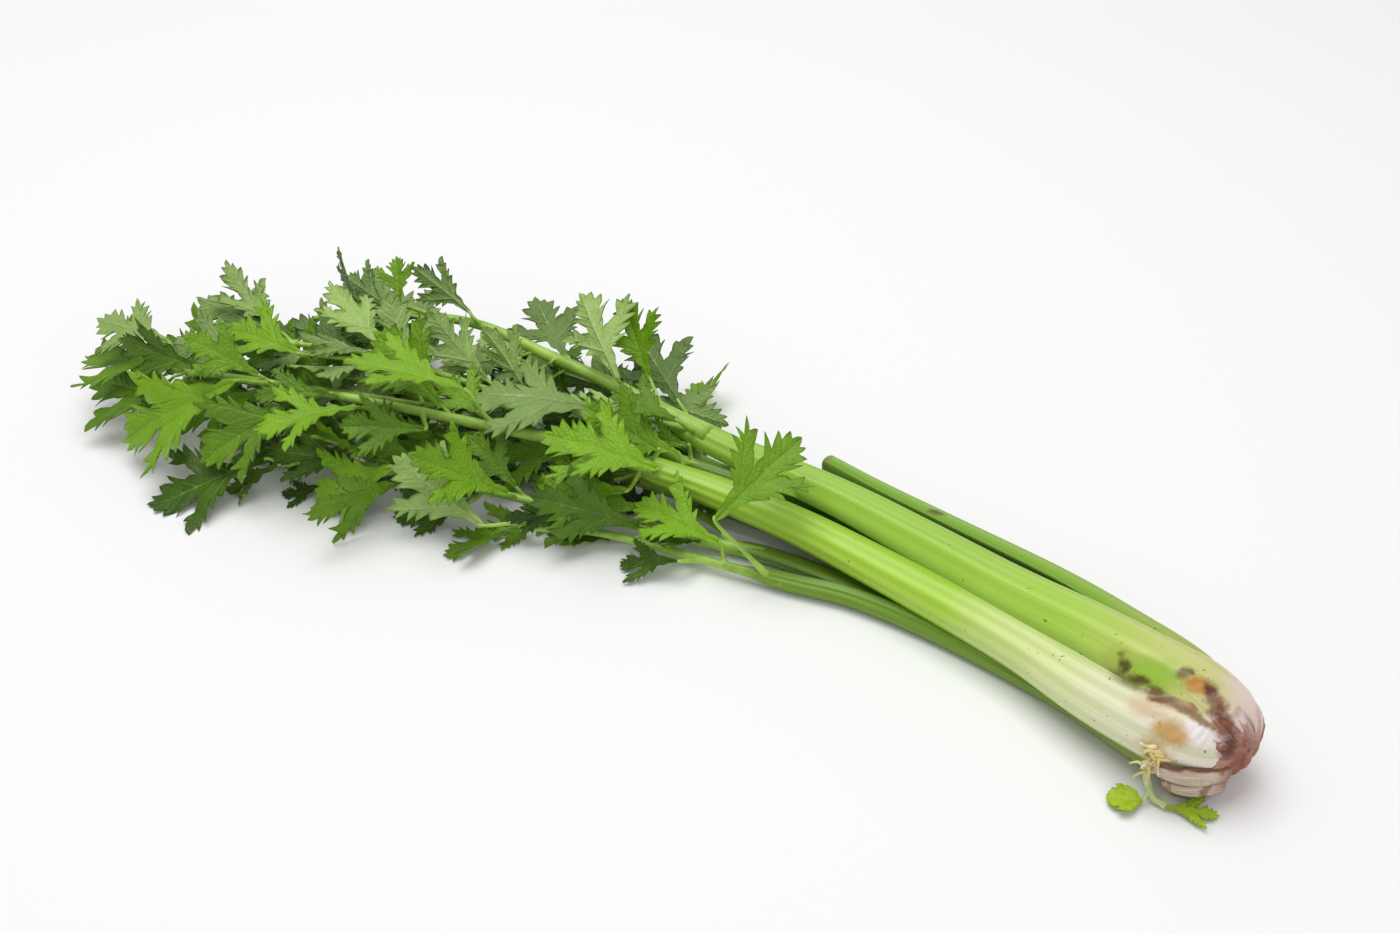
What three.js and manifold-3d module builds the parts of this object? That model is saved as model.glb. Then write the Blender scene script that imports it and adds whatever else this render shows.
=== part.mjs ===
// A head of celery lying on its side: a crown with the bases of nine stalks round it, eight leafy tops
// and a small shoot at the butt. Millimetres, +Z up, butt towards +X, leaves towards -X. The origin is
// the middle of the underside of the head's box.
import * as THREE from "three";
import Module from "manifold-3d";

const wasm = await Module();
wasm.setup();

// Driving dimensions.
const HEAD_CENTRE = [-0.4, 39.4, 0]; // the middle of the underside of the box that the paths below make
const GAP = 0.35; // air kept between two pieces that touch
const BLADE_THICKNESS = 0.7;
const LEAFLET_LENGTH = 52;
const FIRST_REACH = 24; // from the rachis to a blade of the first pair
const REACH = 10;
const MOST_TILT = 32; // degrees
const MOST_PITCH = 12;
const FLOOR_REST = 0.55; // height of the middle surface of a blade that lies on the floor
const FLOOR_BEND = 2.6; // height at which a sinking blade starts to flatten
const FLOOR_SINK = 9; // how far a blade may be pressed up by the floor
const MOST_CLIMB = 24; // height of a leaflet's tip over its foot, unless it is placed by hand
const LOWEST_FOOT = 2.5; // height of a blade's foot, at least
const RIBS = 4; // ribs on a stalk's outer face
const RIB_HEIGHT = 0.55;
const STALK_STEPS = 12;
const EDGE_THINNING = 0.62; // how much thinner a stalk is at its edges than in the middle
const INNER_SHARE = 0.96; // width of its inner face, as a share of the outer one
const TUCKED_SHARE = 0.12; // of its length narrows towards the butt and curls in round the crown
const TUCK_NARROWING = 0.4; // how much of the width, depth and bow is gone at the butt
const TUCK_THINNING = 0.2;
const TUCK_FLATTENING = 0.8;
const BUTT_DENSITY = 1.5; // over 1 the steps are closer at the butt
const STEM_SIDES = 7;
const RACHIS_STEPS = 11;
const RACHIS_SHARE = 0.26; // its radius at the node, as a share of the stalk's width there
const RACHIS_TIP = 1.3;
const RACHIS_ROOM = 0.8; // kept free round it
const RACHIS_FLARE = 0.35; // its radius at the node is larger by this share
const FLARE_FALL = 6; // and the extra dies away in this fraction of the length
const SHOOT_STEPS = 6;
const FOOT_THICKNESS = 1.9; // of a blade where its little stem arrives
const MIDRIB_THICKNESS = 1.1;
const BROAD = [0.92, 1.14]; // smallest and largest width, in widths of the outline below
const ARCH = [0.1, 0.6]; // bend of a blade along its length, in radians
const ARCHED_DOWN = 0.7; // share of the leaflets whose tips bend away from the upper face
const FOLD = [4, 20]; // degrees that each half rises from the midrib
const WAVE = [0.05, 0.16];
const WAVE_START = [0, 6];
const WAVE_TURN = 8; // radians along the blade
const WAVE_SHIFT = 2; // radians between the two halves
const SAG = [0, 2]; // of the little stem
const STEM_HALF = 1; // half the thickness of the little stem
const CHOSEN_STEM_HALF = 1.2;
const STEM_LEAD = 0.1; // the little stem leaves the blade straight over this share of its length
const STEM_PLACES = [1 / 3, 0.55, 0.78, 1]; // along the stem: the blade's foot, two more and the root
const CHOSEN_LENGTH = 1.05; // length of a leaflet that is placed by hand, from foot to tip
const LENGTHS = [0.88, 1.16]; // smallest and largest leaflet in a pair
const WIDE = [28, 50]; // degrees between the rachis and the outer leaflets of a pair
const NARROW = [10, 28]; // and the inner ones, which start further along and are smaller
const INNER_START = 0.08;
const INNER_REACH = 0.85;
const INNER_LENGTH = 0.9;
const END_REACH = 3;
const END_LENGTH = 1.12;
const CROWN_PLACE = [276, -18, 23];
const CROWN_YAW = -24;
const CROWN_RADIUS = 17;
const CROWN_LENGTH = 30;
const CROWN_TURNS = 18;
const CROWN_STEPS = 8;
const CROWN_INNER = 0.75; // share of the crown's length that lies on the side of the stalks
const CROWN_BULGE = 2.4; // over 2 the sides are straighter and the ends blunter
const CROWN_END = 0.06; // girth left at its flat ends, squared
const CROWN_WIDTH = 1.05; // across, in heights
const LUMP = { height: 1.3, round: [5, 3], along: [9, -14] }; // radians are counted round and along
const KNOB = { height: 0.7, round: 9, along: 21 };
const SHADOW_START = 3; // how far a stalk's cutting shape runs past its butt end
const CLEAN = 0.03; // a joined or cut solid loses only what is smaller than this
const TRIES = 110; // places that a leaflet may try before it is made smaller
const SWING_STEP = 3.9; // degrees, times the square root of the try
const SWING_TURN = 2.4; // radians from one try to the next
const ROLL_SHARE = 1.5; // how far the blade rolls about its length, in swings
const ROLL_TURN = 1.7;
const SHRINK = 0.82;
const SMALLEST = 0.6;
const DEG = Math.PI / 180;

const GREEN = { color: 0x86b83f, roughness: 0.42, metalness: 0 };
const PALE_GREEN = { color: 0xb3cf5c, roughness: 0.42, metalness: 0 };
const LEAF = { color: 0x5d9434, roughness: 0.55, metalness: 0 };
const BUTT = { color: 0xd8b9a2, roughness: 0.7, metalness: 0 };

// Each stalk is one path from the butt to the tip of its leaf. The stalk ends at path point `node`,
// where the leafy top starts. `face` is the direction of the ribbed back, in degrees round the path:
// 0 is the far side (+Y), 90 is up, 180 the near side, -90 down. Widths, depths and the bow of the
// section are given at the butt, halfway and at the node. `pairs` are places along the leafy top where
// four leaflets start, `leafFace` is the way they face, and they hang by `droop` degrees.
const STALKS = [
  {
    name: "b", node: 9, face: [95, 104], leafFace: -55, droop: 30, spread: 1, seed: 11,
    path: [
      [279, -18, 30], [271, -15, 38], [257, -10, 43], [238, -3, 42.5], [210, 10, 38], [172, 24, 33.5],
      [131, 38, 32], [89, 51, 31], [46, 61, 29.5], [18, 67, 29], [-25, 75, 35], [-70, 79, 41], [-110, 83, 45],
      [-148, 76, 44], [-186, 62, 40],
    ],
    width: [38, 27, 15], depth: [7.5, 8.5, 8], bow: [9, 5.5, 1.5], pairs: [0.03, 0.34, 0.66],
  },
  {
    name: "c", node: 8, face: [166, 142], leafFace: 130, droop: 16, spread: 0.8, seed: 23,
    path: [
      [276, -23, 24], [266, -31, 27], [249, -32, 29], [216, -17, 24], [179, 2, 21], [129, 19, 20],
      [77, 33, 21], [38, 38, 23],
      [8, 39, 25], [-30, 38, 29], [-80, 27, 34], [-130, 17, 38], [-185, 7, 40], [-228, 1, 37],
    ],
    width: [36, 22, 13], depth: [7.5, 9, 8], bow: [9, 4.5, 1.5], pairs: [0.04, 0.36, 0.68],
  },
  {
    name: "a", node: 7, face: [40, 24], seed: 5,
    path: [
      [280, -12, 26], [271, -1, 31], [254, 11, 33], [226, 25, 31], [190, 42, 27], [137, 60, 23],
      [100, 70, 22.5], [72, 78, 23],
    ],
    width: [27, 17, 12.5], depth: [6.5, 8, 8.5], bow: [5, 3.5, 1.5],
  },
  {
    name: "d", node: 7, face: [200, 165], leafFace: 120, droop: 0, spread: 1, seed: 31,
    path: [
      [273, -23, 14], [258, -27, 11], [241, -22, 8], [210, -7, 6], [180, 3, 5.5], [144, 12, 5.5],
      [108, 17, 5.5], [77, 15, 5.5], [34, 13, 6], [-8, 9, 7.5], [-42, -1, 7],
    ],
    width: [21, 11.5, 9], depth: [6, 7, 6.5], bow: [3, 1.5, 0.8], pairs: [],
  },
  {
    name: "e", node: 5, face: [-118, -100], leafFace: 125, droop: -10, spread: 0.45, seed: 47,
    path: [
      [266, -19, 9], [242, -17, 5.4], [200, 0, 4.4], [154, 16, 3.7], [110, 25, 3.6], [62, 29, 4.3],
      [6, 21, 7.5], [-50, 10, 13], [-108, 2, 16], [-162, -12, 14],
    ],
    width: [20, 13, 10], depth: [6.5, 7.5, 6.5], bow: [3, 2, 1], pairs: [0.14, 0.4, 0.68],
  },
  {
    name: "f", node: 5, face: [-30, -25], leafFace: 118, droop: -10, spread: 0.6, seed: 59,
    path: [
      [268, -4, 18], [248, 10, 16], [202, 35, 9.4], [150, 50, 7.2], [92, 61, 6.7], [42, 66, 8.6],
      [-20, 76, 11], [-80, 75, 13], [-140, 61, 16], [-198, 36, 17],
    ],
    width: [28, 19, 12], depth: [7, 8, 7], bow: [6, 3.5, 1.2], pairs: [0.12, 0.4, 0.68],
  },
  {
    name: "g", node: 5, face: [-88, -90], leafFace: 110, droop: -16, spread: 0.7, seed: 61,
    path: [
      [267, -12, 9.5], [246, -4, 5.8], [202, 17, 4.4], [150, 33, 3.8], [92, 45, 3.8], [32, 50, 5.5],
      [-38, 46, 11], [-100, 38, 15], [-160, 20, 20], [-212, -4, 20],
    ],
    width: [22, 16, 11], depth: [6.5, 8, 7], bow: [4, 3, 1.2], pairs: [0.15, 0.4, 0.68],
  },
  {
    name: "h", node: 5, face: [88, 70], leafFace: -60, droop: 12, spread: 1, seed: 73,
    path: [
      [262, -10, 27], [240, -2, 25], [200, 18, 20.5], [150, 37, 19.5], [90, 53, 19.5], [22, 56, 19.5],
      [-38, 57, 24], [-90, 53, 33], [-140, 44, 43], [-184, 33, 45],
    ],
    width: [12, 11.5, 8.5], depth: [8, 7.5, 6.5], bow: [2.5, 2, 1], pairs: [0.05, 0.38, 0.7],
  },
  {
    name: "i", node: 5, face: [120, 100], leafFace: -50, droop: 4, spread: 1, seed: 83,
    path: [
      [262, -20, 22], [240, -13, 22], [200, 6, 17.5], [150, 25, 17.2], [92, 40, 17.5], [24, 43, 15],
      [-34, 46, 19.5], [-78, 44, 25], [-122, 33, 29], [-166, 22, 32],
    ],
    width: [10, 9, 7], depth: [7, 6.5, 6], bow: [2, 1.5, 0.8], pairs: [0.05, 0.38, 0.7],
  },
];

// Leaflets that stand out in the heap, placed by hand: `at` is the place along the leafy top where its
// little stem starts, then the foot and tip of the blade, and the direction its upper face looks.
const CHOSEN = [
  { stalk: "d", at: 0.05, foot: [47, 8, 35], tip: [69, 46, 60], top: [0.1, -0.72, 0.7], arch: 0.25 },
  { stalk: "d", at: 0.3, foot: [33, 3, 11], tip: [4, -2, 6], top: [0, -0.5, 0.9], arch: 0.5 },
  { stalk: "d", at: 1.0, foot: [-44, -2, 8], tip: [-70, -25, 3], top: [0, 0.3, 1], arch: 0.35 },
  { stalk: "e", at: 0.35, foot: [-60, 0, 24], tip: [-97, 19, 50], top: [0, 0.75, -0.65], arch: 0.3 },
  { stalk: "c", at: 0.05, foot: [6, 27, 36], tip: [-46, 27, 42], top: [0, -0.5, 0.85], arch: 0.4 },
  { stalk: "c", at: 0.05, foot: [0, 22, 25], tip: [-38, 4, 23], top: [0.1, -0.7, 0.7], arch: 0.4 },
  { stalk: "b", at: 0.03, foot: [-30, 48, 45], tip: [-88, 42, 49], top: [0, 0.35, -0.94], arch: -0.4 },
  { stalk: "b", at: 0.2, foot: [-30, 70, 46], tip: [-64, 93, 66], top: [0, 0.65, -0.75], arch: -0.3 },
  { stalk: "b", at: 0.12, foot: [-20, 86, 40], tip: [-36, 96, 72], top: [0.3, -0.8, 0.4], arch: 0.2 },
  { stalk: "f", at: 0.1, foot: [-28, 88, 24], tip: [15, 91, 21], top: [0, 0.6, -0.8], arch: -0.3 },
  { stalk: "b", at: 0.78, foot: [-166, 68, 50], tip: [-182, 76, 71], top: [-0.7, -0.5, 0.2], arch: 0.2 },
  { stalk: "b", at: 0.7, foot: [-146, 74, 52], tip: [-156, 88, 68], top: [0.3, -0.9, 0.2], arch: 0.3 },
  { stalk: "h", at: 0.72, foot: [-166, 20, 52], tip: [-212, 24, 56], top: [0.1, -0.4, 0.9], arch: 0.4 },
  { stalk: "c", at: 0.78, foot: [-186, -4, 47], tip: [-240, -33, 20], top: [0, -0.6, 0.8], arch: 0.35 },
  { stalk: "e", at: 1.0, foot: [-166, -16, 17], tip: [-208, -52, 4], top: [-0.1, -0.4, 0.9], arch: 0.2 },
  { stalk: "e", at: 0.55, foot: [-102, -9, 28], tip: [-140, -24, 8], top: [0, -0.7, 0.7], arch: 0.3 },
  { stalk: "c", at: 1.0, foot: [-230, 2, 37], tip: [-284, 6, 29], top: [0, -0.3, 0.9], arch: 0.2 },
  { stalk: "h", at: 1.0, foot: [-187, 34, 46], tip: [-240, 42, 52], top: [0, 0.3, -0.9], arch: -0.2 },
];

// The small shoot that lies under the butt: its stem and two leaflets.
const SHOOT = [[247, -29, 9], [249, -35, 6.5], [252.5, -39, 3.4], [258, -40, 2.4]];
const SHOOT_RADIUS = [1.9, 1.2];
const SHOOT_SHAPE = { arch: 0.1, fold: 8 * DEG, wave: 0.1, phase: 1, sag: 0, stem: 0.8 };
const SHOOT_LEAFLETS = [
  { at: 0.7, foot: [257, -41, 2.6], tip: [278, -36, 1.8], broad: 1.35 },
  { at: 0.5, foot: [249.5, -41.5, 2.8], tip: [236, -45.5, 2.4], broad: 1.7 },
];

// Half the outline of a leaflet, from its foot to its tip: a plain wedge, a side lobe with two teeth, a
// deep cut, and the middle lobe with its teeth. Along and across, in lengths of the leaflet.
const HALF_OUTLINE = [
  [0, 0.021], [0.3, 0.13], [0.56, 0.385], [0.6, 0.295], [0.74, 0.415], [0.665, 0.13], [0.87, 0.2],
  [0.865, 0.11],
];
const MIDRIB = [0.74, 0.42];
// The triangles that fill it. Points 0 to 8 are the outline with the tip, 9 and 10 those on the midrib.
const HALF_TRIANGLES = [
  [0, 1, 10], [1, 2, 10], [2, 3, 10], [3, 4, 5], [3, 5, 10], [5, 9, 10], [5, 6, 9], [6, 7, 9], [7, 8, 9],
];

const UP = new THREE.Vector3(0, 0, 1);
const vec = (p) => new THREE.Vector3(...p);
const mix = (a, b, t) => a + (b - a) * t;
const at3 = ([a, b, c], t) => (t < 0.5 ? mix(a, b, t * 2) : mix(b, c, t * 2 - 1));

// Repeatable numbers from 0 to 1.
function draws(seed) {
  let state = seed >>> 0;
  return () => {
    state = (Math.imul(state, 1664525) + 1013904223) >>> 0;
    return state / 4294967296;
  };
}

// The directions round a path: along it, to the far side and up.
function directions(curve, t) {
  const along = curve.getTangent(Math.min(t, 1));
  const far = new THREE.Vector3().crossVectors(along, UP).normalize();
  const up = new THREE.Vector3().crossVectors(far, along);
  return { point: curve.getPoint(Math.min(t, 1)), along, far, up };
}

// The direction at `angle` round the path: 0 is the far side, 90 is up.
function round({ far, up }, angle) {
  return far.clone().multiplyScalar(Math.cos(angle * DEG)).addScaledVector(up, Math.sin(angle * DEG));
}

function solidFrom({ points, triangles }) {
  return new wasm.Manifold(
    new wasm.Mesh({
      numProp: 3,
      vertProperties: new Float32Array(points.flatMap((p) => [p.x, p.y, p.z])),
      triVerts: new Uint32Array(triangles.flat()),
    }),
  );
}

// The triangles of a flat outline, each turning the same way as the outline.
function capTriangles(outline) {
  const turn = Math.sign(THREE.ShapeUtils.area(outline));
  const same = (t) => Math.sign(THREE.ShapeUtils.area(t.map((i) => outline[i]))) === turn;
  return THREE.ShapeUtils.triangulateShape(outline, []).map((t) => (same(t) ? t : t.reverse()));
}

// A closed skin over a row of rings with the same count of points. Its flat ends have the outlines given.
function skin(rings, firstOutline, lastOutline = firstOutline) {
  const n = rings[0].length;
  const points = rings.flat();
  const triangles = [];
  for (let r = 0; r + 1 < rings.length; r++)
    for (let i = 0; i < n; i++) {
      const j = (i + 1) % n;
      const [a, b, c, d] = [r * n + i, r * n + j, (r + 1) * n + j, (r + 1) * n + i];
      triangles.push([a, b, c], [a, c, d]);
    }
  const last = (rings.length - 1) * n;
  for (const [a, b, c] of capTriangles(firstOutline)) triangles.push([a, c, b]);
  for (const [a, b, c] of capTriangles(lastOutline)) triangles.push([last + a, last + b, last + c]);
  return { points, triangles };
}

// Half the section of a stalk, across and out from its middle, for a rib at each odd point.
function stalkOutline(width, depth, bow, grow) {
  const outline = [];
  const half = width / 2 + grow;
  const middle = (q) => -bow * q * q;
  const thick = (q) => depth * (1 - EDGE_THINNING * q * q) + 2 * grow;
  for (let i = 0; i <= 2 * RIBS; i++) {
    const q = i / RIBS - 1;
    const rib = i % 2 ? RIB_HEIGHT : 0;
    outline.push(new THREE.Vector2(q * half, middle(q) + thick(q) / 2 + rib - RIB_HEIGHT / 2));
  }
  for (const q of [1, 0.5, 0, -0.5, -1])
    outline.push(new THREE.Vector2(q * half * INNER_SHARE, middle(q) - thick(q) / 2));
  return outline;
}

const pathOf = (stalk) => new THREE.CatmullRomCurve3(stalk.path.map(vec), false, "catmullrom", 0.5);
const nodeAt = (stalk) => stalk.node / (stalk.path.length - 1);

function stalkSkin(stalk, grow = 0, before = 0, beyond = 0) {
  const curve = pathOf(stalk);
  const rings = [];
  const outlines = [];
  for (let k = 0; k <= STALK_STEPS; k++) {
    const s = Math.pow(k / STALK_STEPS, BUTT_DENSITY);
    const frame = directions(curve, s * nodeAt(stalk));
    const out = round(frame, mix(...stalk.face, s));
    const across = new THREE.Vector3().crossVectors(frame.along, out);
    const ends = k === 0 ? -before : k === STALK_STEPS ? beyond : 0;
    const tuck = Math.pow(Math.max(0, 1 - s / TUCKED_SHARE), 2);
    const outline = stalkOutline(
      at3(stalk.width, s) * (1 - TUCK_NARROWING * tuck),
      at3(stalk.depth, s) * (1 - TUCK_THINNING * tuck),
      at3(stalk.bow, s) * (1 - TUCK_FLATTENING * tuck),
      grow,
    );
    outlines.push(outline);
    const middle = frame.point.addScaledVector(frame.along, ends);
    rings.push(outline.map((p) => middle.clone().addScaledVector(across, p.x).addScaledVector(out, p.y)));
  }
  return skin(rings, outlines[0], outlines[STALK_STEPS]);
}

// A round tapering stem through points, as rings and as a skin.
function stemSkin(points, startRadius, endRadius, sides, steps, flare = 0) {
  const curve = new THREE.CatmullRomCurve3(points, false, "catmullrom", 0.5);
  const rings = [];
  for (let k = 0; k <= steps; k++) {
    const s = k / steps;
    const frame = directions(curve, s);
    const radius = mix(startRadius, endRadius, s) + flare * Math.max(0, 1 - FLARE_FALL * s);
    rings.push(
      Array.from({ length: sides }, (_, i) =>
        frame.point.clone().addScaledVector(round(frame, (-360 * i) / sides), radius),
      ),
    );
  }
  const cap = Array.from(
    { length: sides },
    (_, i) => new THREE.Vector2(Math.cos((2 * Math.PI * i) / sides), Math.sin((2 * Math.PI * i) / sides)),
  );
  return skin(rings, cap);
}

// The rachis: the path from just past the node to the tip.
function rachisPoints(stalk) {
  const curve = pathOf(stalk);
  const steps = stalk.path.length - 1 - stalk.node;
  const start = directions(curve, nodeAt(stalk));
  const points = [start.point.clone().addScaledVector(start.along, GAP)];
  for (let k = 1; k <= steps; k++) points.push(curve.getPoint(mix(nodeAt(stalk), 1, k / steps)));
  return points;
}

// A point of a leaflet's middle surface. A leaflet has a foot, a direction x, an upper face z, a length,
// a width share, an arch along it, a fold at the midrib and a wave at its edges.
function bladePoint(leaf, u, v) {
  const bend = leaf.arch * u;
  const along = Math.sin(bend) / leaf.arch;
  const drop = (1 - Math.cos(bend)) / leaf.arch;
  const normal = bladeNormal(leaf, u);
  const side = v * leaf.broad;
  const wave = leaf.wave * Math.sin(leaf.phase + WAVE_TURN * u + (v > 0 ? WAVE_SHIFT : 0));
  const rise = Math.abs(side) * (Math.sin(leaf.fold) + wave);
  const p = leaf.foot
    .clone()
    .addScaledVector(leaf.x, leaf.length * along)
    .addScaledVector(leaf.z, -leaf.length * drop)
    .addScaledVector(leaf.y, leaf.length * side * Math.cos(leaf.fold))
    .addScaledVector(normal, leaf.length * rise);
  leaf.lowest = Math.min(leaf.lowest, p.z);
  const room = FLOOR_BEND - FLOOR_REST;
  if (p.z < FLOOR_BEND) p.z = FLOOR_REST + room * Math.exp((p.z - FLOOR_BEND) / room);
  return p;
}

function bladeNormal(leaf, u) {
  const bend = leaf.arch * u;
  return leaf.z.clone().multiplyScalar(Math.cos(bend)).addScaledVector(leaf.x, Math.sin(bend));
}

// A leaflet as one thin closed skin: a blade split into the same triangles on both faces, thicker at the
// midrib and foot, and a square stem that runs from its foot into the rachis. `grow` makes it thicker.
function leafletSkin(leaf, grow = 0) {
  const right = [...HALF_OUTLINE, [1, 0]];
  const left = HALF_OUTLINE.slice().reverse().map(([u, v]) => [u, -v]);
  const places = [...right, ...left, ...MIDRIB.map((u) => [u, 0])];
  const n = right.length;
  const edge = 2 * n - 1;
  const top = [[0, edge - 1, edge + 1]];
  for (const [a, b, c] of HALF_TRIANGLES) {
    const index = (i) => (i < n ? i : edge + i - n);
    const mirrored = (i) => (i < n ? edge - 1 - i : edge + i - n);
    top.push([index(a), index(c), index(b)], [mirrored(a), mirrored(b), mirrored(c)]);
  }
  const count = places.length;
  const points = [];
  for (const sign of [1, -1])
    for (const [u, v] of places) {
      const thickness = u === 0 ? FOOT_THICKNESS : v === 0 && u < 1 ? MIDRIB_THICKNESS : BLADE_THICKNESS;
      const out = sign * (thickness / 2 + grow);
      points.push(bladePoint(leaf, u, v).addScaledVector(bladeNormal(leaf, u), out));
    }
  const triangles = [...top];
  for (const [a, b, c] of top) triangles.push([a + count, c + count, b + count]);
  for (let i = 0; i + 1 < edge; i++)
    triangles.push([i, i + 1, i + 1 + count], [i, i + 1 + count, i + count]);
  const bladeCount = triangles.length;
  let ring = [edge - 1, 0, count, edge - 1 + count];
  for (const { point, y, z } of stemFrames(leaf).slice(1)) {
    const first = points.length;
    const half = leaf.stem + grow;
    for (const [side, rise] of [[-1, 1], [1, 1], [1, -1], [-1, -1]])
      points.push(point.clone().addScaledVector(y, side * half).addScaledVector(z, rise * half));
    for (let i = 0; i < 4; i++) {
      const j = (i + 1) % 4;
      triangles.push([ring[i], ring[j], first + j], [ring[i], first + j, first + i]);
    }
    ring = [first, first + 1, first + 2, first + 3];
  }
  triangles.push([ring[0], ring[1], ring[2]], [ring[0], ring[2], ring[3]]);
  return { points, triangles, bladeCount };
}

// Places along the little stem from the blade's foot back to the rachis, each with its directions
// across and up, which turn no more than the stem does.
function stemFrames(leaf) {
  const middle = leaf.root.clone().lerp(leaf.foot, 0.5).addScaledVector(leaf.z, -leaf.sag);
  const before = leaf.foot.clone().addScaledVector(leaf.x, leaf.length * STEM_LEAD);
  const curve = new THREE.CatmullRomCurve3([before, leaf.foot, middle, leaf.root], false, "catmullrom", 0.5);
  let y = leaf.y;
  return STEM_PLACES.map((t) => {
    const back = curve.getTangent(t);
    y = y.clone().addScaledVector(back, -y.dot(back)).normalize();
    return { point: curve.getPoint(t), y, z: new THREE.Vector3().crossVectors(y, back) };
  });
}

function cuts(p, q, [a, b, c]) {
  const ab = b.clone().sub(a);
  const ac = c.clone().sub(a);
  const pq = q.clone().sub(p);
  const n = new THREE.Vector3().crossVectors(pq, ac);
  const det = ab.dot(n);
  if (Math.abs(det) < 1e-9) return false;
  const ap = p.clone().sub(a);
  const s = ap.dot(n) / det;
  if (s < 0 || s > 1) return false;
  const m = new THREE.Vector3().crossVectors(ap, ab);
  const t = pq.dot(m) / det;
  const w = ac.dot(m) / det;
  return t >= 0 && s + t <= 1 && w >= 0 && w <= 1;
}

const edges = ([a, b, c]) => [[a, b], [b, c], [c, a]];
const crossing = (s, t) =>
  edges(s).some(([p, q]) => cuts(p, q, t)) || edges(t).some(([p, q]) => cuts(p, q, s));

function boxOf(triangles) {
  return new THREE.Box3().setFromPoints(triangles.flat());
}

const obstacles = []; // { owner, box, triangles with their own boxes }

function addObstacle(owner, triangles) {
  const parts = triangles.map((t) => ({ t, box: new THREE.Box3().setFromPoints(t) }));
  obstacles.push({ owner, box: boxOf(triangles), parts });
}

function isClear(triangles, ignore) {
  const box = boxOf(triangles);
  const own = triangles.map((t) => ({ t, box: new THREE.Box3().setFromPoints(t) }));
  for (const o of obstacles) {
    if (ignore.includes(o.owner) || !o.box.intersectsBox(box)) continue;
    for (const part of o.parts) {
      if (!part.box.intersectsBox(box)) continue;
      for (const mine of own) if (mine.box.intersectsBox(part.box) && crossing(mine.t, part.t)) return false;
    }
  }
  return true;
}

const trianglesOf = ({ points, triangles }) => triangles.map((t) => t.map((i) => points[i]));

// Turns a direction about an axis.
const turned = (v, axis, angle) => v.clone().applyAxisAngle(axis, angle * DEG);

// Finds a place for a leaflet near the wanted one: it swings further and further from it until neither
// the blade nor its little stem crosses anything, then tries again a size smaller.
function settle(wanted, stalk) {
  const { root, foot, x, z } = wanted;
  for (let length = wanted.length; length > wanted.length * SMALLEST; length *= SHRINK)
    for (let k = 0; k < TRIES; k++) {
      const swing = SWING_STEP * Math.sqrt(k);
      const y = new THREE.Vector3().crossVectors(z, x);
      const yaw = swing * Math.cos(SWING_TURN * k);
      const pitch = swing * Math.sin(SWING_TURN * k);
      const roll = ROLL_SHARE * swing * Math.sin(ROLL_TURN * k);
      const swung = (v) => turned(turned(v, z, yaw), y, pitch);
      const newX = swung(x);
      const newZ = turned(swung(z), newX, roll);
      const reach = swung(foot.clone().sub(root)).multiplyScalar(mix(1, length / wanted.length, 0.5));
      const leaf = {
        ...wanted,
        length,
        x: newX,
        z: newZ,
        y: new THREE.Vector3().crossVectors(newZ, newX),
        foot: root.clone().add(reach),
        lowest: Infinity,
      };
      if (leaf.x.z * length > wanted.climb) continue;
      const grown = leafletSkin(leaf, GAP);
      if (leaf.lowest < -FLOOR_SINK || leaf.foot.z < LOWEST_FOOT) continue;
      const all = trianglesOf(grown);
      const blade = all.slice(0, grown.bladeCount);
      const stem = all.slice(grown.bladeCount);
      if (isClear(blade, []) && isClear(stem, [stalk.name])) return leaf;
    }
  return null;
}

function leafletSpec(random, fields) {
  const spread = ([low, high]) => mix(low, high, random());
  return {
    broad: spread(BROAD),
    arch: spread(ARCH) * (random() < ARCHED_DOWN ? 1 : -1),
    fold: spread(FOLD) * DEG,
    wave: spread(WAVE),
    phase: spread(WAVE_START),
    sag: spread(SAG),
    stem: STEM_HALF,
    climb: MOST_CLIMB,
    ...fields,
  };
}

function chosenLeaflets(stalk, curve, random) {
  return CHOSEN.filter((c) => c.stalk === stalk.name).map((c) => {
    const root = curve.getPoint(c.at);
    const foot = vec(c.foot);
    const x = vec(c.tip).sub(foot);
    const length = x.length();
    x.normalize();
    const z = vec(c.top).addScaledVector(x, -vec(c.top).dot(x)).normalize();
    const fields = { root, foot, x, z, length: length * CHOSEN_LENGTH, arch: c.arch, climb: Infinity };
    return leafletSpec(random, { ...fields, stem: CHOSEN_STEM_HALF });
  });
}

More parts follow.
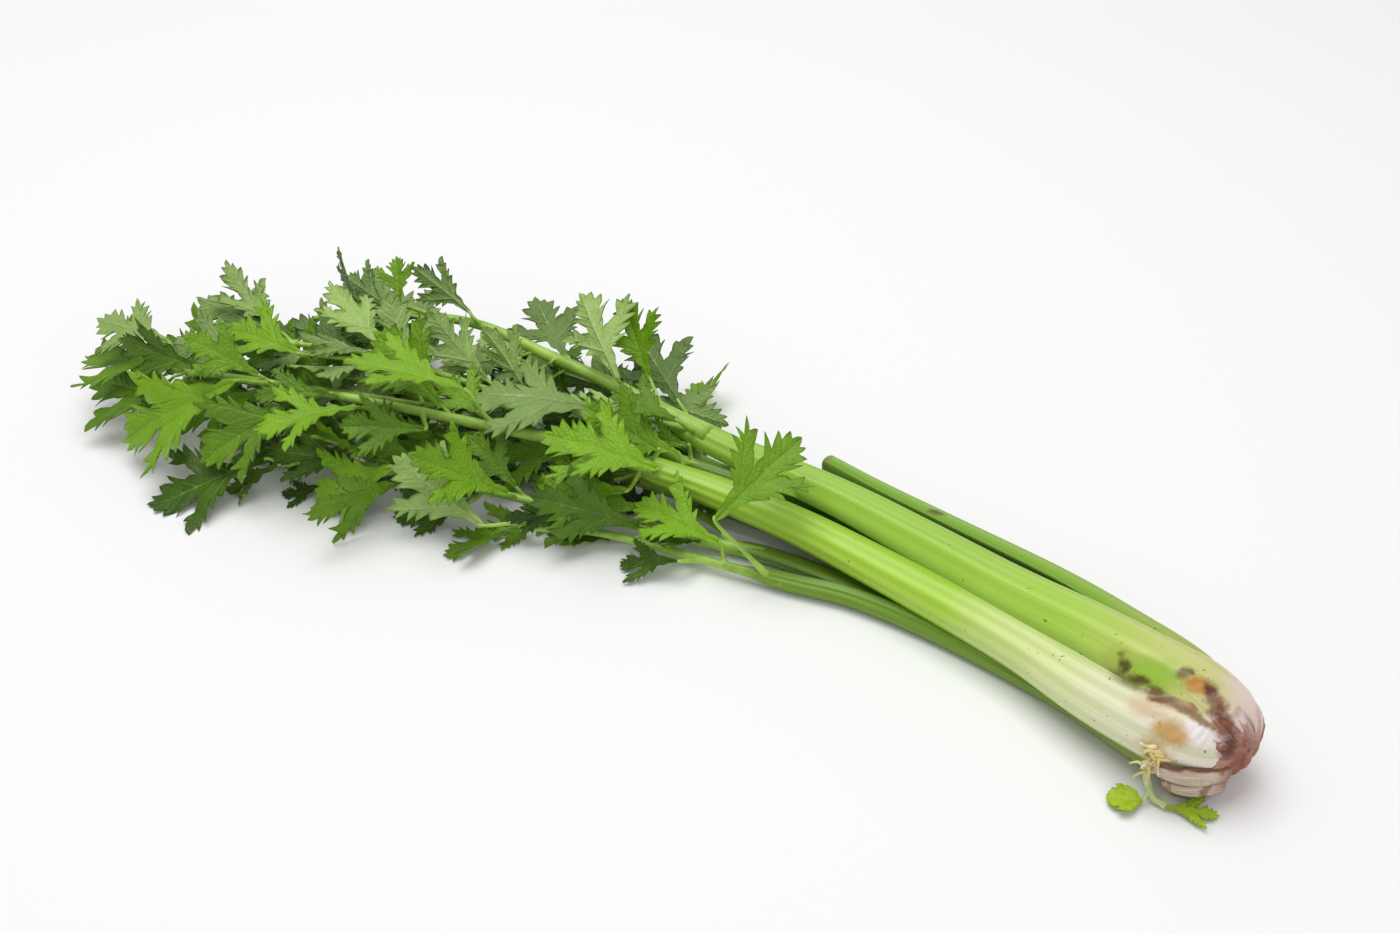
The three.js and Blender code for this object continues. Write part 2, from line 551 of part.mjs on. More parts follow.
// Pairs of leaflets along the rachis, the first on longer stems, and one leaflet that ends it. They
// hang by the stalk's droop and spread by its share of the full spread.
function pairedLeaflets(stalk, curve, random) {
  const wanted = [];
  const aim = (t, side, yaw, pitch, reach, length) => {
    const frame = directions(curve, t);
    const face = round(frame, stalk.leafFace);
    const across = new THREE.Vector3().crossVectors(face, frame.along).multiplyScalar(side);
    const lead = frame.along.clone().multiplyScalar(Math.cos(yaw * DEG));
    lead.addScaledVector(across, Math.sin(yaw * DEG));
    lead.addScaledVector(UP, -Math.sin((stalk.droop + pitch) * DEG)).normalize();
    const z = face.clone().addScaledVector(lead, -face.dot(lead)).normalize();
    const tilt = mix(-MOST_TILT, MOST_TILT, random());
    const foot = frame.point.clone().addScaledVector(lead, reach);
    const fields = { root: frame.point, foot, x: lead, z: turned(z, lead, tilt) };
    fields.length = length * mix(...LENGTHS, random());
    wanted.push(leafletSpec(random, fields));
  };
  const ended = CHOSEN.some((c) => c.stalk === stalk.name && c.at === 1);
  if (!ended) aim(1, 1, 0, 0, END_REACH, LEAFLET_LENGTH * END_LENGTH);
  stalk.pairs.forEach((t, pair) => {
    const reach = pair === 0 ? FIRST_REACH : REACH;
    for (const side of [1, -1]) {
      const pitch = mix(-MOST_PITCH, MOST_PITCH, random());
      const wide = stalk.spread * mix(...WIDE, random());
      aim(t, side, wide, pitch, reach, LEAFLET_LENGTH);
      const narrow = stalk.spread * mix(...NARROW, random());
      aim(t + INNER_START, side, narrow, -pitch, reach * INNER_REACH, LEAFLET_LENGTH * INNER_LENGTH);
    }
  });
  return wanted;
}

// The root end: a short plump body with knobs where the roots were trimmed. The knobs die away towards
// the stalks, which sit round its inner end.
function crownSkin(grow = 0) {
  const rings = [];
  const axis = new THREE.Vector3(Math.cos(CROWN_YAW * DEG), Math.sin(CROWN_YAW * DEG), 0);
  const side = new THREE.Vector3().crossVectors(UP, axis);
  const round = Array.from({ length: CROWN_TURNS }, (_, i) => (2 * Math.PI * i) / CROWN_TURNS);
  for (let k = 0; k <= CROWN_STEPS; k++) {
    const s = k / CROWN_STEPS;
    const girth = Math.sqrt(Math.max(CROWN_END, 1 - Math.pow(2 * Math.abs(s - 0.5), CROWN_BULGE)));
    const middle = vec(CROWN_PLACE).addScaledVector(axis, (s - CROWN_INNER) * (CROWN_LENGTH + 2 * grow));
    rings.push(
      round.map((angle) => {
        const [first, second] = LUMP.round.map((turns, i) => Math.sin(turns * angle + LUMP.along[i] * s));
        const knob = KNOB.height * Math.sin(KNOB.round * angle + KNOB.along * s);
        const radius = CROWN_RADIUS * girth + (LUMP.height * first * second + knob) * s + grow;
        return middle
          .clone()
          .addScaledVector(side, radius * CROWN_WIDTH * Math.cos(angle))
          .addScaledVector(UP, radius * Math.sin(angle));
      }),
    );
  }
  return skin(rings, round.map((angle) => new THREE.Vector2(Math.cos(angle), Math.sin(angle))));
}

const group = new THREE.Group();

function addNode(name, solid, look) {
  const { vertProperties, triVerts, numProp } = solid.getMesh();
  const positions = new Float32Array((vertProperties.length / numProp) * 3);
  for (let i = 0; i * numProp < vertProperties.length; i++)
    positions.set(vertProperties.subarray(i * numProp, i * numProp + 3), i * 3);
  const geometry = new THREE.BufferGeometry()
    .setAttribute("position", new THREE.BufferAttribute(positions, 3))
    .setIndex(new THREE.BufferAttribute(triVerts, 1));
  const mesh = new THREE.Mesh(geometry, new THREE.MeshStandardMaterial(look));
  mesh.name = name;
  group.add(mesh);
}

const biggest = (solid) => solid.simplify(CLEAN).decompose().sort((a, b) => b.volume() - a.volume())[0];

const onFloor = (solid) => solid.trimByPlane([0, 0, 1], 0);

// The stalks stand round the crown and press against each other, so each one is cut back by the crown
// and by the stalks before it in the list. What would sink into the floor is flattened.
addNode("crown", biggest(onFloor(solidFrom(crownSkin()))), BUTT);
const shadows = [solidFrom(crownSkin(GAP))];
for (const stalk of STALKS) {
  let solid = onFloor(solidFrom(stalkSkin(stalk)));
  for (const shadow of shadows) solid = solid.subtract(shadow);
  solid = biggest(solid);
  const grown = stalkSkin(stalk, GAP, SHADOW_START, GAP / 2);
  shadows.push(solidFrom(grown));
  addNode("stalk_" + stalk.name, solid, stalk.name < "e" ? GREEN : PALE_GREEN);
  addObstacle("stalk", trianglesOf(grown));
}

const tops = STALKS.filter((stalk) => stalk.pairs).map((stalk) => {
  const points = rachisPoints(stalk);
  const curve = new THREE.CatmullRomCurve3(points, false, "catmullrom", 0.5);
  const radius = at3(stalk.width, 1) * RACHIS_SHARE;
  const flare = radius * RACHIS_FLARE;
  const rachis = stemSkin(points, radius, RACHIS_TIP, STEM_SIDES, RACHIS_STEPS, flare);
  const room = [radius + RACHIS_ROOM, RACHIS_TIP + RACHIS_ROOM];
  const fat = stemSkin(points, ...room, STEM_SIDES, RACHIS_STEPS, flare);
  addObstacle(stalk.name, trianglesOf(fat));
  return { stalk, curve, solids: [solidFrom(rachis)], random: draws(stalk.seed) };
});
// The shoot is cut back by the stalks that it grows out between.
const shootPoints = SHOOT.map(vec);
const shootCurve = new THREE.CatmullRomCurve3(shootPoints, false, "catmullrom", 0.5);
let shoot = solidFrom(stemSkin(shootPoints, ...SHOOT_RADIUS, STEM_SIDES, SHOOT_STEPS));
for (const { at, foot, tip, broad } of SHOOT_LEAFLETS) {
  const x = vec(tip).sub(vec(foot));
  const length = x.length();
  x.normalize();
  const y = new THREE.Vector3().crossVectors(UP, x).normalize();
  const z = new THREE.Vector3().crossVectors(x, y);
  const place = { root: shootCurve.getPoint(at), foot: vec(foot), x, y, z, length, lowest: Infinity };
  shoot = shoot.add(solidFrom(leafletSkin({ ...place, broad, ...SHOOT_SHAPE })));
}
for (const shadow of shadows) shoot = shoot.subtract(shadow);
addNode("basal_shoot", biggest(shoot), LEAF);

// The leaflets placed by hand come first, then the pairs. One that finds no free place is left out.
const plans = [];
for (const list of [chosenLeaflets, pairedLeaflets])
  for (const top of tops)
    for (const wanted of list(top.stalk, top.curve, top.random)) plans.push({ top, wanted });

for (const { top, wanted } of plans) {
  const leaf = settle(wanted, top.stalk);
  if (!leaf) continue;
  const leaflet = leafletSkin(leaf);
  const all = trianglesOf(leaflet);
  addObstacle("blade", all.slice(0, leaflet.bladeCount));
  addObstacle(top.stalk.name, all.slice(leaflet.bladeCount));
  top.solids.push(solidFrom(leaflet));
}

// Each leafy top is fused into one solid.
for (const { stalk, solids } of tops)
  addNode("leaves_" + stalk.name, biggest(solids.reduce((a, b) => a.add(b))), LEAF);

group.position.set(-HEAD_CENTRE[0], -HEAD_CENTRE[1], -HEAD_CENTRE[2]);
export default group;
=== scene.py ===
"""The looks of a head of celery that lies on its side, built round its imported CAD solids."""

import math

import bpy
import numpy as np
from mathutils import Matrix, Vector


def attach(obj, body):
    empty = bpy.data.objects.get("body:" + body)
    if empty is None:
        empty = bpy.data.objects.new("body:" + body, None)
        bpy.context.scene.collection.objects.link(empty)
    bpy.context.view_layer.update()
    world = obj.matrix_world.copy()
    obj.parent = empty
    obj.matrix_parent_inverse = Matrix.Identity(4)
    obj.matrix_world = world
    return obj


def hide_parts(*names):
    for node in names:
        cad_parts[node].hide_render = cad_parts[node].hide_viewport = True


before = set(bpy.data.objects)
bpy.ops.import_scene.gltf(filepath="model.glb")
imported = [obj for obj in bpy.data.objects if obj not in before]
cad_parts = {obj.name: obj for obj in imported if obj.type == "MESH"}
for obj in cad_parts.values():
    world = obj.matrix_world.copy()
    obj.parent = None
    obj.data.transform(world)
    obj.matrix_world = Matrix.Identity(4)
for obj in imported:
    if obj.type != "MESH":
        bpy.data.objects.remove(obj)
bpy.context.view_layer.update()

# The same driving data as the CAD source, in millimetres: +Z up, butt towards +X.
HEAD_CENTRE = np.array([-0.4, 39.4, 0.0])
GAP = 0.35
BLADE_THICKNESS = 0.7
LEAFLET_LENGTH = 52
FIRST_REACH = 24
REACH = 10
MOST_TILT = 32
MOST_PITCH = 12
FLOOR_REST = 0.55
FLOOR_BEND = 2.6
FLOOR_SINK = 9
MOST_CLIMB = 24
LOWEST_FOOT = 2.5
RIBS = 4
RIB_HEIGHT = 0.55
STALK_STEPS = 12
EDGE_THINNING = 0.62
INNER_SHARE = 0.96
TUCKED_SHARE = 0.12
TUCK_NARROWING = 0.4
TUCK_THINNING = 0.2
TUCK_FLATTENING = 0.8
BUTT_DENSITY = 1.5
STEM_SIDES = 7
RACHIS_STEPS = 11
RACHIS_SHARE = 0.26
RACHIS_TIP = 1.3
RACHIS_ROOM = 0.8
RACHIS_FLARE = 0.35
FLARE_FALL = 6
FOOT_THICKNESS = 1.9
MIDRIB_THICKNESS = 1.1
BROAD = (0.92, 1.14)
ARCH = (0.1, 0.6)
ARCHED_DOWN = 0.7
FOLD = (4, 20)
WAVE = (0.05, 0.16)
WAVE_START = (0, 6)
WAVE_TURN = 8
WAVE_SHIFT = 2
SAG = (0, 2)
STEM_HALF = 1
CHOSEN_STEM_HALF = 1.2
STEM_LEAD = 0.1
STEM_PLACES = (1 / 3, 0.55, 0.78, 1)
CHOSEN_LENGTH = 1.05
LENGTHS = (0.88, 1.16)
WIDE = (28, 50)
NARROW = (10, 28)
INNER_START = 0.08
INNER_REACH = 0.85
INNER_LENGTH = 0.9
END_REACH = 3
END_LENGTH = 1.12
CROWN_PLACE = np.array([276.0, -18.0, 23.0])
CROWN_YAW = -24
CROWN_RADIUS = 17
CROWN_LENGTH = 30
CROWN_INNER = 0.75
CROWN_BULGE = 2.4
CROWN_END = 0.06
CROWN_WIDTH = 1.05
LUMP = (1.3, (5, 3), (9, -14))
KNOB = (0.7, 9, 21)
SHADOW_START = 3
TRIES = 110
SWING_STEP = 3.9
SWING_TURN = 2.4
ROLL_SHARE = 1.5
ROLL_TURN = 1.7
SHRINK = 0.82
SMALLEST = 0.6

# Each stalk: name, node, face at butt and node, how its leaves hang and spread, path, section and pairs.
STALKS = [
    dict(
        name="b", node=9, face=(95, 104), leaf_face=-55, droop=30, spread=1, seed=11,
        path=[
            (279, -18, 30), (271, -15, 38), (257, -10, 43), (238, -3, 42.5), (210, 10, 38), (172, 24, 33.5),
            (131, 38, 32), (89, 51, 31), (46, 61, 29.5), (18, 67, 29), (-25, 75, 35), (-70, 79, 41),
            (-110, 83, 45), (-148, 76, 44), (-186, 62, 40),
        ],
        width=(38, 27, 15), depth=(7.5, 8.5, 8), bow=(9, 5.5, 1.5), pairs=(0.03, 0.34, 0.66),
    ),
    dict(
        name="c", node=8, face=(166, 142), leaf_face=130, droop=16, spread=0.8, seed=23,
        path=[
            (276, -23, 24), (266, -31, 27), (249, -32, 29), (216, -17, 24), (179, 2, 21), (129, 19, 20),
            (77, 33, 21), (38, 38, 23), (8, 39, 25), (-30, 38, 29), (-80, 27, 34), (-130, 17, 38),
            (-185, 7, 40), (-228, 1, 37),
        ],
        width=(36, 22, 13), depth=(7.5, 9, 8), bow=(9, 4.5, 1.5), pairs=(0.04, 0.36, 0.68),
    ),
    dict(
        name="a", node=7, face=(40, 24),
        path=[
            (280, -12, 26), (271, -1, 31), (254, 11, 33), (226, 25, 31), (190, 42, 27), (137, 60, 23),
            (100, 70, 22.5), (72, 78, 23),
        ],
        width=(27, 17, 12.5), depth=(6.5, 8, 8.5), bow=(5, 3.5, 1.5),
    ),
    dict(
        name="d", node=7, face=(200, 165), leaf_face=120, droop=0, spread=1, seed=31,
        path=[
            (273, -23, 14), (258, -27, 11), (241, -22, 8), (210, -7, 6), (180, 3, 5.5), (144, 12, 5.5),
            (108, 17, 5.5), (77, 15, 5.5), (34, 13, 6), (-8, 9, 7.5), (-42, -1, 7),
        ],
        width=(21, 11.5, 9), depth=(6, 7, 6.5), bow=(3, 1.5, 0.8), pairs=(),
    ),
    dict(
        name="e", node=5, face=(-118, -100), leaf_face=125, droop=-10, spread=0.45, seed=47,
        path=[
            (266, -19, 9), (242, -17, 5.4), (200, 0, 4.4), (154, 16, 3.7), (110, 25, 3.6), (62, 29, 4.3),
            (6, 21, 7.5), (-50, 10, 13), (-108, 2, 16), (-162, -12, 14),
        ],
        width=(20, 13, 10), depth=(6.5, 7.5, 6.5), bow=(3, 2, 1), pairs=(0.14, 0.4, 0.68),
    ),
    dict(
        name="f", node=5, face=(-30, -25), leaf_face=118, droop=-10, spread=0.6, seed=59,
        path=[
            (268, -4, 18), (248, 10, 16), (202, 35, 9.4), (150, 50, 7.2), (92, 61, 6.7), (42, 66, 8.6),
            (-20, 76, 11), (-80, 75, 13), (-140, 61, 16), (-198, 36, 17),
        ],
        width=(28, 19, 12), depth=(7, 8, 7), bow=(6, 3.5, 1.2), pairs=(0.12, 0.4, 0.68),
    ),
    dict(
        name="g", node=5, face=(-88, -90), leaf_face=110, droop=-16, spread=0.7, seed=61,
        path=[
            (267, -12, 9.5), (246, -4, 5.8), (202, 17, 4.4), (150, 33, 3.8), (92, 45, 3.8), (32, 50, 5.5),
            (-38, 46, 11), (-100, 38, 15), (-160, 20, 20), (-212, -4, 20),
        ],
        width=(22, 16, 11), depth=(6.5, 8, 7), bow=(4, 3, 1.2), pairs=(0.15, 0.4, 0.68),
    ),
    dict(
        name="h", node=5, face=(88, 70), leaf_face=-60, droop=12, spread=1, seed=73,
        path=[
            (262, -10, 27), (240, -2, 25), (200, 18, 20.5), (150, 37, 19.5), (90, 53, 19.5), (22, 56, 19.5),
            (-38, 57, 24), (-90, 53, 33), (-140, 44, 43), (-184, 33, 45),
        ],
        width=(12, 11.5, 8.5), depth=(8, 7.5, 6.5), bow=(2.5, 2, 1), pairs=(0.05, 0.38, 0.7),
    ),
    dict(
        name="i", node=5, face=(120, 100), leaf_face=-50, droop=4, spread=1, seed=83,
        path=[
            (262, -20, 22), (240, -13, 22), (200, 6, 17.5), (150, 25, 17.2), (92, 40, 17.5), (24, 43, 15),
            (-34, 46, 19.5), (-78, 44, 25), (-122, 33, 29), (-166, 22, 32),
        ],
        width=(10, 9, 7), depth=(7, 6.5, 6), bow=(2, 1.5, 0.8), pairs=(0.05, 0.38, 0.7),
    ),
]

# Leaflets placed one by one: stalk, place along the leafy top, foot, tip, way the upper face looks, arch, tone.
CHOSEN = [
    ("d", 0.05, (47, 8, 35), (69, 46, 60), (0.1, -0.72, 0.7), 0.25, 0.75),
    ("d", 0.3, (33, 3, 11), (4, -2, 6), (0, -0.5, 0.9), 0.5, 0.15),
    ("d", 1.0, (-44, -2, 8), (-70, -25, 3), (0, 0.3, 1), 0.35, 0.5),
    ("e", 0.35, (-60, 0, 24), (-97, 19, 50), (0, 0.75, -0.65), 0.3, 0.75),
    ("c", 0.05, (6, 27, 36), (-46, 27, 42), (0, -0.5, 0.85), 0.4, 0.95),
    ("c", 0.05, (0, 22, 25), (-38, 4, 23), (0.1, -0.7, 0.7), 0.4, 0.8),
    ("b", 0.03, (-30, 48, 45), (-88, 42, 49), (0, 0.35, -0.94), -0.4, 0.45),
    ("b", 0.2, (-30, 70, 46), (-64, 93, 66), (0, 0.65, -0.75), -0.3, 0.85),
    ("b", 0.12, (-20, 86, 40), (-36, 96, 72), (0.3, -0.8, 0.4), 0.2, 0.9),
    ("f", 0.1, (-28, 88, 24), (15, 91, 21), (0, 0.6, -0.8), -0.3, 0.4),
    ("b", 0.78, (-166, 68, 50), (-182, 76, 71), (-0.7, -0.5, 0.2), 0.2, 0.35),
    ("b", 0.7, (-146, 74, 52), (-156, 88, 68), (0.3, -0.9, 0.2), 0.3, 0.7),
    ("h", 0.72, (-166, 20, 52), (-212, 24, 56), (0.1, -0.4, 0.9), 0.4, 0.9),
    ("c", 0.78, (-186, -4, 47), (-240, -33, 20), (0, -0.6, 0.8), 0.35, 0.85),
    ("e", 1.0, (-166, -16, 17), (-208, -52, 4), (-0.1, -0.4, 0.9), 0.2, 0.22),
    ("e", 0.55, (-102, -9, 28), (-140, -24, 8), (0, -0.7, 0.7), 0.3, 0.95),
    ("c", 1.0, (-230, 2, 37), (-284, 6, 29), (0, -0.3, 0.9), 0.2, 0.6),
    ("h", 1.0, (-187, 34, 46), (-240, 42, 52), (0, 0.3, -0.9), -0.2, 0.5),
]

# The small shoot: path, radius at its ends, and for each leaflet its place, foot, tip and breadth.
SHOOT = [(247, -29, 9), (249, -35, 6.5), (252.5, -39, 3.4), (258, -40, 2.4)]
SHOOT_RADIUS = (1.9, 1.2)
SHOOT_SHAPE = dict(arch=0.1, fold=math.radians(8), wave=0.1, phase=1, sag=0, stem=0.8)
SHOOT_LEAFLETS = [
    (0.7, (257, -41, 2.6), (278, -36, 1.8), 1.35),
    (0.5, (249.5, -41.5, 2.8), (236, -45.5, 2.4), 1.7),
]

# Half the CAD outline of a leaflet, its points on the midrib and the triangles that fill it.
HALF_OUTLINE = [
    (0, 0.021), (0.3, 0.13), (0.56, 0.385), (0.6, 0.295), (0.74, 0.415), (0.665, 0.13), (0.87, 0.2),
    (0.865, 0.11),
]
MIDRIB = (0.74, 0.42)
HALF_TRIANGLES = [
    (0, 1, 10), (1, 2, 10), (2, 3, 10), (3, 4, 5), (3, 5, 10), (5, 9, 10), (5, 6, 9), (6, 7, 9), (7, 8, 9),
]

UP = np.array([0.0, 0.0, 1.0])
TANGENT_STEP = 0.0001
LEAST_VOLUME = 1e-9
DRAW_FACTOR = 1664525
DRAW_ADDED = 1013904223
DRAW_RANGE = 4294967296


def vec(p):
    return np.array(p, float)


def mix(a, b, t):
    return a + (b - a) * t


def at3(values, t):
    a, b, c = values
    return mix(a, b, t * 2) if t < 0.5 else mix(b, c, t * 2 - 1)


def unit(v):
    return v / math.sqrt(v @ v)


def cross(a, b):
    """The cross products of two vectors or two lists of vectors."""
    ax, ay, az = a[..., 0], a[..., 1], a[..., 2]
    bx, by, bz = b[..., 0], b[..., 1], b[..., 2]
    return np.stack((ay * bz - az * by, az * bx - ax * bz, ax * by - ay * bx), -1)


def draws(seed):
    """Repeatable numbers from 0 to 1, as in the CAD source."""
    state = seed

    def draw():
        nonlocal state
        state = (state * DRAW_FACTOR + DRAW_ADDED) % DRAW_RANGE
        return state / DRAW_RANGE

    return draw


class Curve:
    """A smooth curve through points, with the same places and directions as in the CAD source."""

    def __init__(self, points):
        self.points = vec(points)

    def at(self, t):
        pts = self.points
        count = len(pts)
        place = (count - 1) * t
        i = int(math.floor(place))
        w = place - i
        if i >= count - 1:
            i, w = count - 2, 1.0
        before = pts[i - 1] if i > 0 else 2 * pts[0] - pts[1]
        after = pts[i + 2] if i + 2 < count else 2 * pts[-1] - pts[-2]
        p, q = pts[i], pts[i + 1]
        s, e = (q - before) / 2, (after - p) / 2
        return p + s * w + (3 * (q - p) - 2 * s - e) * w**2 + (2 * (p - q) + s + e) * w**3

    def tangent(self, t):
        return unit(self.at(min(1, t + TANGENT_STEP)) - self.at(max(0, t - TANGENT_STEP)))

    def directions(self, t):
        """Point, direction along, to the far side and up."""
        t = min(t, 1)
        along = self.tangent(t)
        far = unit(cross(along, UP))
        return self.at(t), along, far, cross(far, along)


def around(far, up, angle):
    return far * math.cos(math.radians(angle)) + up * math.sin(math.radians(angle))


def turned(v, axis, angle):
    """v turned about a unit axis, in degrees."""
    a = math.radians(angle)
    return v * math.cos(a) + cross(axis, v) * math.sin(a) + axis * (v @ axis) * (1 - math.cos(a))


# The CAD source's own skins, which say where a leaflet finds room.


def skin_triangles(rings, cap):
    """Index triples of a closed skin over rings of the same count, with the triangles that fill an end."""
    rows, n = len(rings), len(rings[0])
    triangles = []
    for r in range(rows - 1):
        for i in range(n):
            j = (i + 1) % n
            a, b, c, d = r * n + i, r * n + j, (r + 1) * n + j, (r + 1) * n + i
            triangles += [(a, b, c), (a, c, d)]
    last = (rows - 1) * n
    for a, b, c in cap:
        triangles += [(a, c, b), (last + a, last + b, last + c)]
    return np.array(triangles)


def stem_cap(sides):
    return [(0, i, i + 1) for i in range(1, sides - 1)]


def stalk_cap():
    """The triangles between the outer points 0 to 2 * RIBS of a section and its inner ones."""
    cap = []
    for k in range(RIBS):
        a, b, c = 2 * k, 2 * k + 1, 2 * k + 2
        inner, following = 3 * RIBS + 1 - k, 3 * RIBS - k
        cap += [(a, b, inner), (b, following, inner), (b, c, following)]
    return cap


def stalk_outline(width, depth, bow, grow):
    half = width / 2 + grow
    outline = []
    for i in range(2 * RIBS + 1):
        q = i / RIBS - 1
        rib = RIB_HEIGHT if i % 2 else 0
        thick = depth * (1 - EDGE_THINNING * q * q) + 2 * grow
        outline.append((q * half, -bow * q * q + thick / 2 + rib - RIB_HEIGHT / 2))
    for q in (1, 0.5, 0, -0.5, -1):
        thick = depth * (1 - EDGE_THINNING * q * q) + 2 * grow
        outline.append((q * half * INNER_SHARE, -bow * q * q - thick / 2))
    return outline


def tuck_at(s):
    return max(0, 1 - s / TUCKED_SHARE) ** 2


def stalk_section(stalk, s):
    """Width, depth and bow of a stalk at the share s of its length."""
    tuck = tuck_at(s)
    return (
        at3(stalk["width"], s) * (1 - TUCK_NARROWING * tuck),
        at3(stalk["depth"], s) * (1 - TUCK_THINNING * tuck),
        at3(stalk["bow"], s) * (1 - TUCK_FLATTENING * tuck),
    )


def node_at(stalk):
    return stalk["node"] / (len(stalk["path"]) - 1)


def stalk_frame(stalk, curve, s):
    """Middle, direction along, across and out from a stalk at the share s of its length."""
    middle, along, far, up = curve.directions(s * node_at(stalk))
    out = around(far, up, mix(*stalk["face"], s))
    return middle, along, cross(along, out), out


def stalk_skin(stalk, grow, before, beyond):
    curve = Curve(stalk["path"])
    rings = []
    for k in range(STALK_STEPS + 1):
        s = (k / STALK_STEPS) ** BUTT_DENSITY
        middle, along, across, out = stalk_frame(stalk, curve, s)
        middle = middle + along * (-before if k == 0 else beyond if k == STALK_STEPS else 0)
        outline = stalk_outline(*stalk_section(stalk, s), grow)
        rings.append([middle + across * x + out * y for x, y in outline])
    return rings


def ring_at(curve, s, radius, sides):
    point, _, far, up = curve.directions(s)
    return [point + around(far, up, -360 * i / sides) * radius for i in range(sides)]


def rachis_radius(radius, s, room=0):
    """The radius of a rachis at the share s of its length, with room round it."""
    return mix(radius + room, RACHIS_TIP + room, s) + radius * RACHIS_FLARE * max(0, 1 - FLARE_FALL * s)


def rachis_curve(stalk):
    curve = Curve(stalk["path"])
    steps = len(stalk["path"]) - 1 - stalk["node"]
    start, along, _, _ = curve.directions(node_at(stalk))
    points = [start + along * GAP]
    points += [curve.at(mix(node_at(stalk), 1, k / steps)) for k in range(1, steps + 1)]
    return Curve(points)


def blade_points(leaf, u, v):
    """Points of a leaflet's middle surface at the places u, v of its outline, and the normals there."""
    bend = leaf["arch"] * u
    along = np.sin(bend) / leaf["arch"]
    drop = (1 - np.cos(bend)) / leaf["arch"]
    normal = leaf["z"] * np.cos(bend)[:, None] + leaf["x"] * np.sin(bend)[:, None]
    side = v * leaf["broad"]
    wave = leaf["wave"] * np.sin(leaf["phase"] + WAVE_TURN * u + np.where(v > 0, WAVE_SHIFT, 0))
    rise = np.abs(side) * (math.sin(leaf["fold"]) + wave)
    size = leaf["length"]
    p = leaf["foot"] + leaf["x"] * (size * along)[:, None] - leaf["z"] * (size * drop)[:, None]
    p = p + leaf["y"] * (size * side * math.cos(leaf["fold"]))[:, None] + normal * (size * rise)[:, None]
    leaf["lowest"] = p[:, 2].min()
    room = FLOOR_BEND - FLOOR_REST
    pressed = FLOOR_REST + room * np.exp((np.minimum(p[:, 2], FLOOR_BEND) - FLOOR_BEND) / room)
    p[:, 2] = np.where(p[:, 2] < FLOOR_BEND, pressed, p[:, 2])
    return p, normal


def stem_curve(leaf):
    middle = (leaf["root"] + leaf["foot"]) / 2 - leaf["z"] * leaf["sag"]
    before = leaf["foot"] + leaf["x"] * leaf["length"] * STEM_LEAD
    return Curve([before, leaf["foot"], middle, leaf["root"]])


def stem_frames(leaf):
    curve = stem_curve(leaf)
    y = leaf["y"]
    frames = []
    for t in STEM_PLACES:
        back = curve.tangent(t)
        y = unit(y - back * (y @ back))
        frames.append((curve.at(t), y, cross(y, back)))
    return frames


def coarse_leaflet():
    """Places, thicknesses and triangles of the CAD leaflet, its blade and its square stem."""
    right = HALF_OUTLINE + [(1, 0)]
    left = [(u, -v) for u, v in reversed(HALF_OUTLINE)]
    places = vec(right + left + [(u, 0) for u in MIDRIB])
    n, edge, count = len(right), 2 * len(right) - 1, len(places)
    top = [(0, edge - 1, edge + 1)]
    for a, b, c in HALF_TRIANGLES:
        index = [i if i < n else edge + i - n for i in (a, c, b)]
        mirrored = [edge - 1 - i if i < n else edge + i - n for i in (a, b, c)]
        top += [tuple(index), tuple(mirrored)]
    blade = top + [(a + count, c + count, b + count) for a, b, c in top]
    for i in range(edge - 1):
        blade += [(i, i + 1, i + 1 + count), (i, i + 1 + count, i + count)]
    stem = []
    ring = [edge - 1, 0, count, edge - 1 + count]
    for k in range(len(STEM_PLACES) - 1):
        first = 2 * count + 4 * k
        for i in range(4):
            j = (i + 1) % 4
            stem += [(ring[i], ring[j], first + j), (ring[i], first + j, first + i)]
        ring = [first + i for i in range(4)]
    stem += [(ring[0], ring[1], ring[2]), (ring[0], ring[2], ring[3])]
    u, v = places.T
    on_midrib = (v == 0) & (u < 1)
    thickness = np.where(u == 0, FOOT_THICKNESS, np.where(on_midrib, MIDRIB_THICKNESS, BLADE_THICKNESS))
    return u, v, thickness, np.array(blade), np.array(stem)


COARSE_U, COARSE_V, COARSE_THICKNESS, BLADE_TRIANGLES, STEM_TRIANGLES = coarse_leaflet()


def coarse_blade(leaf, grow):
    points, normal = blade_points(leaf, COARSE_U, COARSE_V)
    lift = (COARSE_THICKNESS / 2 + grow)[:, None] * normal
    return np.concatenate([points + lift, points - lift])


def coarse_stem(leaf, grow, blade):
    """The triangles of the square stem between the blade's foot and the rachis."""
    half = leaf["stem"] + grow
    corners = []
    for point, y, z in stem_frames(leaf)[1:]:
        corners += [point + y * a * half + z * b * half for a, b in ((-1, 1), (1, 1), (1, -1), (-1, -1))]
    return np.concatenate([blade, np.array(corners)])[STEM_TRIANGLES]


